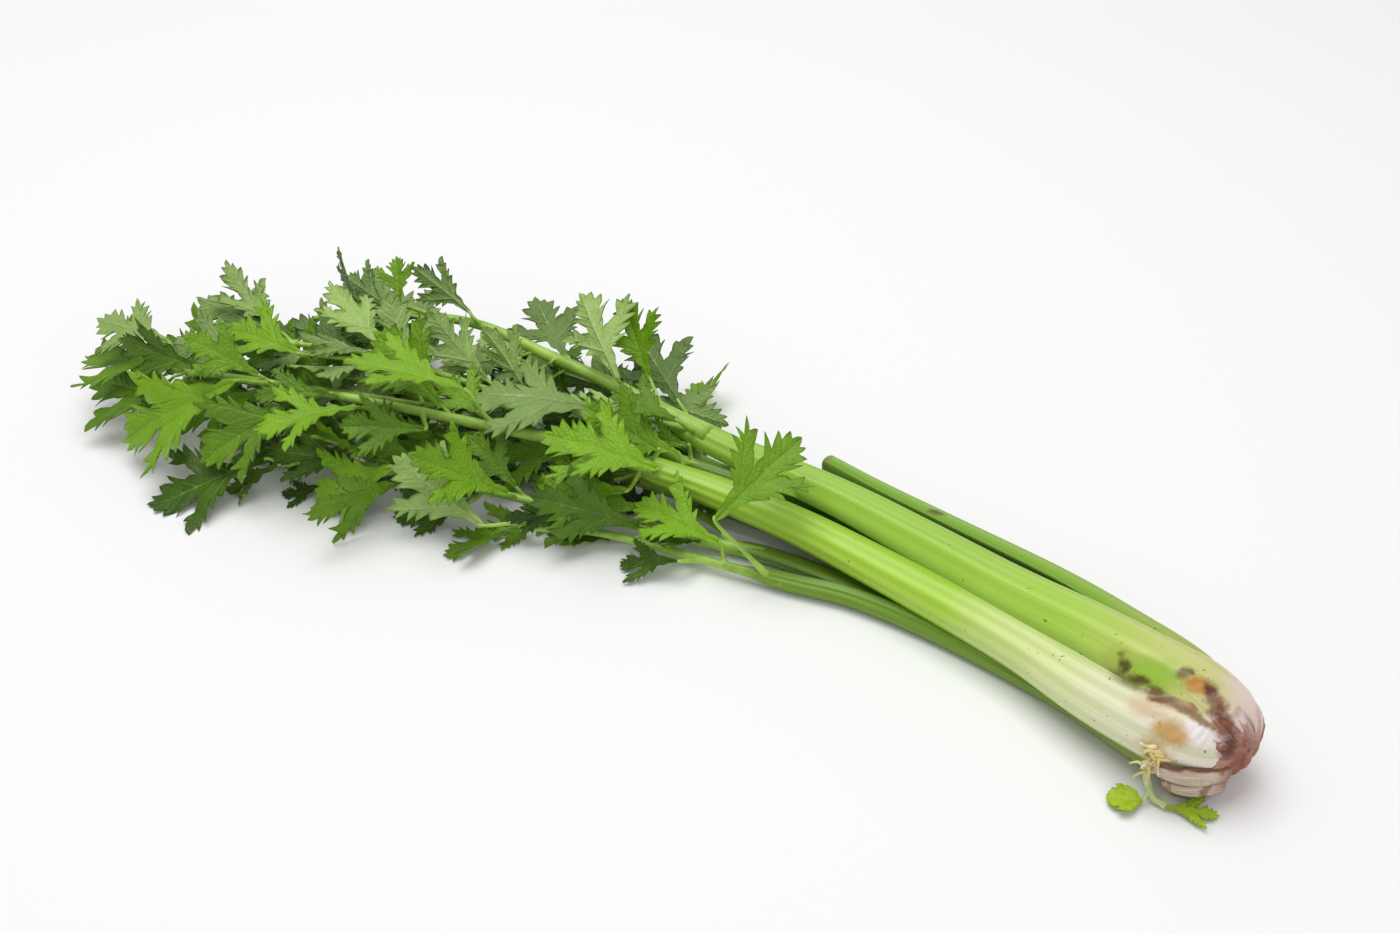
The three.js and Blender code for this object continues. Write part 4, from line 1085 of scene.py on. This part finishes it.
def crown_ring(s):
    """Middle and plain radius of the root end at the share s of its length."""
    girth = math.sqrt(max(CROWN_END, 1 - (2 * abs(s - 0.5)) ** CROWN_BULGE))
    return CROWN_PLACE + CROWN_AXIS * (s - CROWN_INNER) * CROWN_LENGTH, CROWN_RADIUS * girth


def crown_sides(turns):
    """The way out from the root end's axis at each turn round it."""
    return np.outer(CROWN_WIDTH * np.cos(turns), CROWN_FAR) + np.outer(np.sin(turns), UP)


def lumps(angle, s, height, turns, along):
    first, second = (np.sin(turn * angle + rate * s) for turn, rate in zip(turns, along))
    return height * first * second


def crown_piece(look):
    """The root end with its knobs, finer than in the CAD source."""
    piece = Piece("root_end", [look])
    steps, turns = CROWN_GRID
    angle = np.linspace(0, 2 * np.pi, turns, endpoint=False)
    points = []
    for k in range(steps + 1):
        s = k / steps
        middle, radius = crown_ring(s)
        knob = KNOB[0] * np.sin(KNOB[1] * angle + KNOB[2] * s)
        radius = radius + (lumps(angle, s, *LUMP) + knob + lumps(angle, s, *FINE_LUMP)) * s
        points.append(middle + crown_sides(angle) * radius[:, None])
    piece.add(np.concatenate(points), skin_faces(steps + 1, turns))
    return piece


# Torn stumps below the butt: path, width and depth at the start, middle and end.
STUMPS = [
    ([(277, -28, 17), (269, -35, 18), (259, -39, 18.5), (250, -39.5, 19)], (9, 10, 5.5), (3, 3.6, 1.6)),
    ([(276, -27, 9), (269, -33, 9.5), (261, -36.5, 10), (254, -37, 11)], (8, 8.5, 5), (3, 3.6, 1.6)),
    ([(273, -25, 4), (265, -30.5, 4), (256, -33.5, 4.5)], (6.5, 7, 5), (2.6, 3, 1.4)),
]
STUMP_GRID = (26, 28)
STUMP_RAGGED = (0.12, 5, 9)
STUMP_CLOSE = 0.8
BLUNTEST = 0.02
GRAIN_RUN = 30

# Pale bases that fold over the root end: angle round it, half the angle they cover, start and end along it.
FOLDS = [
    (128, 15, 0.3, 0.9), (100, 17, 0.2, 0.96), (66, 18, 0.2, 0.94), (32, 17, 0.25, 0.95), (-4, 16, 0.3, 0.9),
    (158, 13, 0.45, 0.84),
]
FOLD_COLUMNS = 21
FOLD_HEIGHT = 1.5
FOLD_SPAN = (0.12, 0.97)
FOLD_NARROWEST = 0.01
FOLD_SWAY = (3, 7)
FOLD_RIPPLE = (0.25, 9, 0.1)
FOLD_SINK = 0.6

# Torn fibres: where they start, how far they run and bend, each as a least place and a range, and their ends.
FIBRES = 20
FIBRE_SEED = 91
FIBRE_START = ((245, 8), (-37.5, -1), (16, 12))
FIBRE_RUN = ((-6, 9), (-3.5, 3), (-6, 13))
FIBRE_BEND = ((-1, 2), (0, -1.5), (0, 2))
FIBRE_LEAD = (4, 1.5, 0)
FIBRE_RADIUS = (1.15, 0.3)
FIBRE_GRID = (6, 10)

# The materials of the torn bases, in their order.
STUMP, FIBRE, FOLDED = 0, 1, 2


def stump(piece, path, width, depth):
    steps, turns = STUMP_GRID
    angle = np.linspace(0, 2 * np.pi, turns, endpoint=False)
    share, turn, rate = STUMP_RAGGED
    curve = Curve(path)
    points = []
    for k in range(steps + 1):
        s = k / steps
        middle, _, far, up = curve.directions(s)
        close = math.sqrt(max(BLUNTEST, 1 - max(0, (s - STUMP_CLOSE) / (1 - STUMP_CLOSE)) ** 2))
        half = (1 + share * np.sin(turn * angle + rate * s) * s) * close / 2
        x, y = np.cos(angle) * at3(width, s) * half, np.sin(angle) * at3(depth, s) * half
        ring = middle + up * x[:, None] - far * y[:, None]
        ring[:, 2] = np.maximum(ring[:, 2], LOWEST_UNDER)
        points.append(ring)
    runs = np.repeat(np.linspace(0, GRAIN_RUN, steps + 1), turns)
    across = np.tile(np.cos(angle), steps + 1)
    piece.add(np.concatenate(points), skin_faces(steps + 1, turns), STUMP, run=runs, across=across)


def fold(piece, angle, half, start, end):
    steps = STUMP_GRID[0]
    q = np.linspace(-1, 1, FOLD_COLUMNS)
    height, turns, shift = FOLD_RIPPLE
    points, runs = [], []
    for k in range(steps + 1):
        s = mix(start, end, k / steps)
        close = math.sqrt(max(FOLD_NARROWEST, math.sin(math.pi * mix(*FOLD_SPAN, k / steps))))
        middle, radius = crown_ring(s)
        turn = np.radians(angle + half * q * close + FOLD_SWAY[0] * math.sin(FOLD_SWAY[1] * s + angle))
        lift = FOLD_HEIGHT * close * np.sqrt(1 - q**4) + height * np.sin(turns * q + shift * angle) - FOLD_SINK
        points.append(middle + crown_sides(turn) * (radius + lift)[:, None])
        runs.append(GRAIN_RUN * s)
    numbers = dict(run=np.repeat(runs, FOLD_COLUMNS), across=np.tile(q, steps + 1))
    piece.add(np.concatenate(points), grid_faces(steps + 1, FOLD_COLUMNS), FOLDED, **numbers)


def torn_piece(looks):
    """Torn pale stumps, folds and fibres on the near side of the butt."""
    piece = Piece("torn_bases", looks, "run", "across")
    for path, width, depth in STUMPS:
        stump(piece, path, width, depth)
    for place in FOLDS:
        fold(piece, *place)
    draw = draws(FIBRE_SEED)

    def strewn(ranges):
        return vec([least + more * draw() for least, more in ranges])

    for _ in range(FIBRES):
        start = strewn(FIBRE_START)
        end = start + strewn(FIBRE_RUN)
        fibre = Curve([start + vec(FIBRE_LEAD), start, (start + end) / 2 + strewn(FIBRE_BEND), end])
        tube(piece, fibre, lambda s: mix(*FIBRE_RADIUS, s), FIBRE_GRID, FIBRE)
    return piece


class Look:
    """A material whose nodes are added by short calls."""

    def __init__(self, name, roughness, **sockets):
        self.material = bpy.data.materials.new(name)
        self.material.use_nodes = True
        self.tree = self.material.node_tree
        self.shader = next(n for n in self.tree.nodes if n.type == "BSDF_PRINCIPLED")
        self.shader.inputs["Roughness"].default_value = roughness
        for key, value in sockets.items():
            self.shader.inputs[key.replace("_", " ")].default_value = value
        self.place = self.node("ShaderNodeTexCoord").outputs["Object"]

    def plug(self, socket, value):
        if isinstance(value, bpy.types.NodeSocket):
            self.tree.links.new(value, socket)
        else:
            socket.default_value = value

    def node(self, kind, inputs=None, **settings):
        node = self.tree.nodes.new(kind)
        for key, value in settings.items():
            setattr(node, key, value)
        for key, value in (inputs or {}).items():
            self.plug(node.inputs[key], value)
        return node

    def number(self, name):
        return self.node("ShaderNodeAttribute", attribute_name=name).outputs["Fac"]

    def maths(self, operation, a, b=0.0, c=0.0, clamp=False):
        return self.node("ShaderNodeMath", {0: a, 1: b, 2: c}, operation=operation, use_clamp=clamp).outputs[0]

    def times(self, a, b):
        return self.maths("MULTIPLY", a, b)

    def centred(self, value, share):
        """A noise times a share, around 0."""
        return self.maths("MULTIPLY_ADD", value, share, -share / 2)

    def plus(self, a, b):
        return self.maths("ADD", a, b)

    def vector(self, operation, a, b=(0.0, 0.0, 0.0), output="Vector"):
        return self.node("ShaderNodeVectorMath", {0: a, 1: b}, operation=operation).outputs[output]

    def span(self, value, low, high, to_low=0.0, to_high=1.0):
        """value carried from low..high to to_low..to_high, clamped and eased."""
        inputs = {"Value": value, "From Min": low, "From Max": high, "To Min": to_low, "To Max": to_high}
        return self.node("ShaderNodeMapRange", inputs, interpolation_type="SMOOTHSTEP").outputs["Result"]

    def blend(self, share, a, b, how="MIX"):
        return self.node("ShaderNodeMix", {0: share, 6: a, 7: b}, data_type="RGBA", blend_type=how).outputs[2]

    def tint(self, share, colour, tone):
        """The colour seen through a tone, in the given share."""
        return self.blend(share, colour, self.blend(1.0, colour, shade(tone), "MULTIPLY"))

    def veil(self, colour, value, limits, tone):
        """The colour seen through a tone where a value lies within its limits."""
        return self.tint(self.span(value, *limits), colour, tone)

    def cover(self, colour, value, limits, tone):
        """The colour under a tone where a value lies within its limits."""
        return self.blend(self.span(value, *limits), colour, shade(tone))

    def noise(self, scale, detail=4.0, roughness=0.55, place=None, output=0):
        place = self.place if place is None else place
        inputs = {"Vector": place, "Scale": scale, "Detail": detail, "Roughness": roughness}
        return self.node("ShaderNodeTexNoise", inputs).outputs[output]

    def streaks(self, run_scale, across_scale, detail, roughness=0.55):
        """Noise drawn out along a stalk."""
        run, across = self.times(self.number("run"), run_scale), self.times(self.number("across"), across_scale)
        return self.noise(1.0, detail, roughness, self.node("ShaderNodeCombineXYZ", {0: run, 1: across}).outputs[0])

    def ramp(self, value, places, tones):
        node = self.node("ShaderNodeValToRGB", {0: value})
        elements = node.color_ramp.elements
        while len(elements) < len(places):
            elements.new(0.5)
        for element, place, tone in zip(elements, places, tones):
            element.position = place
            element.color = shade(tone)
        return node.outputs[0]

    def dress(self, colour, height, distance, strength):
        """The finished material, with its colour and its relief."""
        self.plug(self.shader.inputs["Base Color"], colour)
        inputs = {"Height": height, "Distance": distance, "Strength": strength}
        self.plug(self.shader.inputs["Normal"], self.node("ShaderNodeBump", inputs).outputs[0])
        return self.material


def shade(text):
    """A colour written as six hexadecimal digits, as linear light."""
    parts = [int(text[i : i + 2], 16) / 255 for i in (0, 2, 4)]
    return (*[p / 12.92 if p <= 0.04045 else ((p + 0.055) / 1.055) ** 2.4 for p in parts], 1.0)


# The colours of each stalk, from the butt to the leaves, and where along it each colour is reached.
TONE_PLACES = (0.0, 0.1, 0.26, 0.45, 1.0)
TONE_LENGTH = 320.0
TONES = {
    "b": ("e6cdb8", "cfd27e", "b0d450", "a2cc42", "9fc64a"),
    "c": ("efe0d2", "f2ecda", "e4eaac", "b4da46", "a5cd42"),
    "a": ("e2c8bc", "a9b653", "94ba3e", "8cb63a", "8cb640"),
    "d": ("c8b890", "93a844", "7c9c2e", "769a28", "7ea232"),
}
HIDDEN_TONES = ("b8ae84", "8f9e46", "728f28", "6a8820", "73942c")

# Stains of the butt: middle and half sizes in millimetres, colour and strength.
STAINS = [
    ((240, -14, 43), (18, 7, 8), "8fba28", 0.8),
    ((226, -9, 40), (12, 5, 6), "9cae3c", 0.5),
    ((276, -8, 36), (11, 14, 12), "e6cfc8", 0.9),
    ((246, -26, 37), (13, 6, 6), "d8bc9c", 0.8),
    ((263, -31, 35.5), (8, 5, 5.5), "f2ecec", 0.95),
    ((254, -34, 34), (8, 5, 5), "c4933c", 0.85),
    ((250, -36, 26), (8, 4, 5), "d2ab72", 0.7),
    ((258, -15.5, 45), (5, 4, 4), "bf7a28", 0.95),
    ((252, -12, 46), (3.4, 3, 4), "6e4a20", 0.9),
    ((263, -16.5, 44), (4.4, 4.2, 4), "5e2f1c", 0.95),
    ((267, -20.5, 41), (4, 4.4, 5), "74402c", 0.95),
    ((271, -25, 37), (4, 4.6, 5), "7e4832", 0.9),
    ((274.5, -28, 31), (3.6, 4, 5), "5e3122", 0.95),
    ((280, -27, 17), (7, 8, 12), "925040", 0.8),
    ((228.5, -11, 39), (3.2, 2.2, 4.0), "49360f", 0.9),
    ((227, -8, 42), (2.2, 1.8, 2.8), "5c5a1c", 0.7),
    ((235, -15, 38.5), (7.5, 2.2, 2.4), "5a4214", 0.95),
    ((241.5, -18.8, 38.7), (7.5, 2.1, 2.3), "66491a", 0.95),
    ((248, -22.5, 39), (7, 2.2, 2.4), "6a4a18", 0.95),
    ((255, -25, 39.3), (7, 2.1, 2.4), "77541f", 0.9),
    ((71, 77, 24), (3, 9, 8), "86803a", 0.75),
    ((128.7, 60, 28.5), (4.5, 2.5, 3), "6a5a28", 0.95),
    ((262, -26.5, 38), (7, 2.2, 2.6), "84602c", 0.85),
]
STAIN_DRIFT = (0.012, 0.006, 0.006)
STAIN_EDGE = (0.4, 1.35)
STAIN_WANDER = (95.0, 5.0, 0.7)
STAIN_RAGGED = (420.0, 3.0, 0.7)
RAGGED_SHARE = 0.5

# Noises are given as scale and detail, and drawn-out ones as their scales along and across, then detail.
# A veil or a cover lies between two values, with the shares that it has there, and has a tone. A relief has
# its depth in metres and its strength.
FLESH_CLOUDS = (22.0, 3.0)
FLESH_SPECKS = (380.0, 2.0)
FLESH_GRIT = (900.0, 3.0)
FLESH_STREAKS = (0.012, 6.0, 5.0, 0.6)
FLESH_THREADS = (0.008, 24.0, 3.0)
FLESH_RELIEF = (0.0005, 0.4)
STREAK_HEIGHT = 0.35
GRIT_HEIGHT = 0.1
TONE_WANDER = 0.14
BAND_TURNS = (11.0, 1.0)
BAND_VEIL = ((-1.0, 1.0, 0.0, 0.22), "b4cf74")
RIB_SHARE = 0.1
RIB_TONE = "c3d68c"
THREAD_VEIL = ((0.5, 0.72, 0.0, 0.3), "b9cc74")
EDGE_VEIL = ((0.72, 1.0, 0.0, 0.5), "9dbd62")
SPECK_FADE = (20.0, 190.0, 0.015, -0.03)
SPECK_COVER = ((0.7, 0.75, 0.0, 0.75), "5f5c1c")
CRACK_ACROSS = (0.74, 0.96)
CRACK_FIRST = (8.0, 16.0)
CRACK_LAST = (52.0, 64.0, 1.0, 0.0)
CRACK_NOISE = 150.0
CRACK_RAGGED = (0.3, 0.52)
CRACK_DARKER = (20.0, 60.0)
CRACK_TONES = ("96682c", "4a3410")

LEAF_PATCHES = 60.0
LEAF_BLOOM = (520.0, 3.0)
BLOOM_VEIL = ((0.35, 0.7, 0.0, 0.25), "cfe08a")
RIM_VEIL = ((0.8, 1.0, 0.0, 0.3), "9aa860")
VEIN_EDGE = (0.25, 0.9)
NET_SCALE = 420.0
NET_EDGE = (0.0, 0.25)
PATCH_HEIGHT = 0.6
LEAF_RELIEF = (0.0005, 0.35)

CROWN_NOISES = ((45.0, 4.0), (150.0, 6.0), (600.0, 4.0))
CROWN_PALE = "c79a84"
CROWN_COVERS = (((0.35, 0.65), "a86e58"), ((0.42, 0.62, 0.0, 0.7), "8a4c36"), ((0.55, 0.7, 0.0, 0.6), "552c1e"))
SMALL_HEIGHT = 0.5
CROWN_RELIEF = (0.0016, 0.9)

TORN_GRAIN = (0.08, 5.0, 4.0)
TORN_PATCHES = (130.0, 5.0)
GRAIN_EDGE = (0.35, 0.65)
TORN_WANDER = 0.8
TORN_EDGE = ((0.58, 0.9), "6a4426")
TORN_COVER = ((0.53, 0.66, 0.0, 0.75), "8d5a3c")
TORN_RELIEF = (0.0008, 0.6)

PLAIN_RELIEF = (0.0004, 0.4)
STEM_PATCHES = 70.0
STEM_GRIT = (700.0, 3.0)
STEM_EDGE = (0.3, 0.7)
PLAIN_PATCHES = 140.0


def stained(look, colour):
    """Stains of the butt, each round a place, with torn and wandering edges."""
    drift = look.vector("ADD", look.noise(*STAIN_WANDER, output="Color"), (-0.5, -0.5, -0.5))
    moved = look.vector("ADD", look.place, look.vector("MULTIPLY", drift, STAIN_DRIFT))
    ragged = look.centred(look.noise(*STAIN_RAGGED), RAGGED_SHARE)
    for where, size, tone, share in STAINS:
        away = look.vector("SUBTRACT", moved, tuple(to_part(where).tolist()))
        scaled = look.vector("MULTIPLY", away, tuple(1000 / s for s in size))
        distance = look.plus(look.vector("LENGTH", scaled, output="Value"), ragged)
        colour = look.blend(look.span(distance, *STAIN_EDGE, share, 0.0), colour, shade(tone))
    return colour


def stalk_look(name):
    """Flesh that runs from its colour at the butt through yellow-green to its colour at the leaves."""
    sockets = dict(Subsurface_Weight=0.06, Subsurface_Radius=(0.003, 0.004, 0.001), Specular_IOR_Level=0.42)
    look = Look("stalk_" + name, 0.34, **sockets)
    run, across, rib = look.number("run"), look.number("across"), look.number("rib")
    streaks = look.streaks(*FLESH_STREAKS)
    wobble = look.plus(look.times(streaks, TONE_WANDER), look.times(look.noise(*FLESH_CLOUDS), TONE_WANDER))
    shift = look.plus(look.maths("DIVIDE", run, TONE_LENGTH), look.maths("SUBTRACT", wobble, TONE_WANDER))
    colour = look.ramp(shift, TONE_PLACES, TONES.get(name, HIDDEN_TONES))
    bands = look.maths("SINE", look.maths("MULTIPLY_ADD", across, *BAND_TURNS))
    colour = look.veil(colour, bands, *BAND_VEIL)
    colour = look.tint(look.times(rib, RIB_SHARE), colour, RIB_TONE)
    colour = look.veil(colour, look.streaks(*FLESH_THREADS), *THREAD_VEIL)
    colour = look.veil(colour, look.maths("ABSOLUTE", across), *EDGE_VEIL)
    scatter = look.plus(look.noise(*FLESH_SPECKS), look.span(run, *SPECK_FADE))
    colour = look.cover(colour, scatter, *SPECK_COVER)
    if name in CRACK_SIDES:
        inner = look.span(look.times(across, CRACK_SIDES[name]), *CRACK_ACROSS)
        reach = look.times(look.span(run, *CRACK_FIRST), look.span(run, *CRACK_LAST))
        crack = look.times(look.times(inner, reach), look.span(look.noise(CRACK_NOISE), *CRACK_RAGGED))
        brown = look.blend(look.span(run, *CRACK_DARKER), *(shade(tone) for tone in CRACK_TONES))
        colour = look.blend(crack, colour, brown)
    height = look.plus(look.times(streaks, STREAK_HEIGHT), look.times(look.noise(*FLESH_GRIT), GRIT_HEIGHT))
    return look.dress(stained(look, colour), height, *FLESH_RELIEF)


def leaf_look(name, dark, bright, vein_colour, roughness, vein_share, mottle):
    look = Look(name, roughness, Specular_IOR_Level=0.3)
    patches = look.noise(LEAF_PATCHES)
    # The tone number holds each leaflet's own brightness and, for leaflets without a given tone, a painted shade
    # that darkens the low ones.
    share = look.maths("ADD", look.number("tone"), look.centred(patches, mottle), clamp=True)
    colour = look.blend(share, shade(dark), shade(bright))
    colour = look.veil(colour, look.noise(*LEAF_BLOOM), *BLOOM_VEIL)
    colour = look.veil(colour, look.number("out"), *RIM_VEIL)
    colour = look.cover(colour, look.number("vein"), (*VEIN_EDGE, 0.0, vein_share), vein_colour)
    inputs = {"Vector": look.place, "Scale": NET_SCALE}
    net = look.node("ShaderNodeTexVoronoi", inputs, feature="DISTANCE_TO_EDGE").outputs["Distance"]
    height = look.plus(look.span(net, *NET_EDGE), look.times(patches, PATCH_HEIGHT))
    return look.dress(colour, height, *LEAF_RELIEF)


def stem_look():
    look = Look("leaf_stem", 0.4, Subsurface_Weight=0.08, Subsurface_Radius=(0.002, 0.003, 0.001))
    colour = look.cover(shade("82ab34"), look.noise(STEM_PATCHES), STEM_EDGE, "accf58")
    return look.dress(colour, look.noise(*STEM_GRIT), *PLAIN_RELIEF)


def crown_look():
    look = Look("root_end", 0.6)
    noises = [look.noise(*noise) for noise in CROWN_NOISES]
    colour = shade(CROWN_PALE)
    for noise, cover in zip(noises, CROWN_COVERS):
        colour = look.cover(colour, noise, *cover)
    height = look.plus(noises[1], look.times(noises[2], SMALL_HEIGHT))
    return look.dress(stained(look, colour), height, *CROWN_RELIEF)


def torn_look(name, pale, darker):
    """Pale torn bases, brown along their edges."""
    look = Look(name, 0.5, Subsurface_Weight=0.05)
    grain, patch = look.streaks(*TORN_GRAIN), look.noise(*TORN_PATCHES)
    colour = look.cover(shade(pale), grain, GRAIN_EDGE, darker)
    edge = look.plus(look.maths("ABSOLUTE", look.number("across")), look.centred(patch, TORN_WANDER))
    colour = look.cover(look.cover(colour, edge, *TORN_EDGE), patch, *TORN_COVER)
    return look.dress(stained(look, colour), look.plus(grain, patch), *TORN_RELIEF)


def plain_look(name, roughness, first, second):
    look = Look(name, roughness, Subsurface_Weight=0.08, Subsurface_Radius=(0.002, 0.002, 0.001))
    patches = look.noise(PLAIN_PATCHES)
    return look.dress(look.cover(shade(first), patches, GRAIN_EDGE, second), patches, *PLAIN_RELIEF)


LOOKS_SEED = 7


def build():
    tops, obstacles = place_leaflets()
    fill_heap(tops, obstacles)
    draw = draws(LOOKS_SEED)
    upper = leaf_look("leaf_upper", "1f3b08", "80b01c", "a8c855", 0.42, 0.3, 0.55)
    under = leaf_look("leaf_under", "4a6630", "aac872", "c2d598", 0.56, 0.5, 0.45)
    leaf_looks = [upper, under, stem_look()]
    for stalk in STALKS:
        name = stalk["name"]
        slot = "stalk_green" if name <= LAST_IN_VIEW else "stalk_pale"
        stalk_piece(stalk, stalk_look(name), draw).make(slot, "stalk_" + name)
    for top in tops:
        top_piece(top, leaf_looks, draw).make("leaf", "leaves_" + top["stalk"]["name"])
    crown_piece(crown_look()).make("root_end", "crown")
    young = leaf_look("shoot_leaf", "5f8f14", "a9c62c", "c4d866", 0.4, 0.3, 0.5)
    young_stem = plain_look("shoot_stem", 0.3, "dfe6bf", "c3d48c")
    shoot_piece([young, young, young_stem], draw).make("shoot", "basal_shoot")
    torn, folded = torn_look("torn_base", "dccab8", "c0a68e"), torn_look("fold", "ead8d0", "d6b8ac")
    torn_piece([torn, plain_look("torn_fibre", 0.5, "f0e8bc", "dcc882"), folded]).make("root_end")


# Each light: name, place, size and power. They and the camera are in metres.
LIGHTS = [("key_light", (-0.3, 0.16, 1.85), 1.5, 24), ("fill_light", (1.2, -1.0, 1.3), 1.8, 5)]
SKY_STRENGTH = 0.46
FLOOR_HALF = 6
FLOOR_TONE = (0.92, 0.92, 0.92, 1)
EYE = to_part([300.8, -570.5, 570.3])
TARGET = to_part([8.2, 79.0, 0])
LENS = 50
SENSOR = 36
CLIP = (0.05, 30)


def aimed(name, data, place, target):
    """An object at a place, turned to look at a target."""
    made = bpy.data.objects.new(name, data)
    made.location = place
    made.rotation_mode = "QUATERNION"
    made.rotation_quaternion = Vector(vec(target) - vec(place)).to_track_quat("-Z", "Y")
    bpy.context.scene.collection.objects.link(made)
    return made


def studio():
    """A plain pale floor, soft light from above and the camera at the photograph's angle."""
    scene = bpy.context.scene
    scene.view_settings.view_transform = "Standard"
    world = bpy.data.worlds.new("studio")
    world.use_nodes = True
    sky = next(n for n in world.node_tree.nodes if n.type == "BACKGROUND")
    sky.inputs[0].default_value = (1, 1, 1, 1)
    sky.inputs[1].default_value = SKY_STRENGTH
    scene.world = world
    floor_mesh = bpy.data.meshes.new("floor")
    corners = [(FLOOR_HALF * a, FLOOR_HALF * b, 0) for a, b in ((-1, -1), (1, -1), (1, 1), (-1, 1))]
    floor_mesh.from_pydata(corners, [], [(0, 1, 2, 3)])
    floor_look = Look("floor", 0.7)
    floor_look.shader.inputs["Base Color"].default_value = FLOOR_TONE
    floor_mesh.materials.append(floor_look.material)
    floor = bpy.data.objects.new("floor", floor_mesh)
    scene.collection.objects.link(floor)
    for name, place, size, power in LIGHTS:
        light = bpy.data.lights.new(name, "AREA")
        light.shape = "SQUARE"
        light.size = size
        light.energy = power
        aimed(name, light, place, (0, 0, 0))
    camera_data = bpy.data.cameras.new("camera")
    camera_data.lens = LENS
    camera_data.sensor_width = SENSOR
    camera_data.clip_start, camera_data.clip_end = CLIP
    scene.camera = aimed("camera", camera_data, EYE, TARGET)


build()
studio()
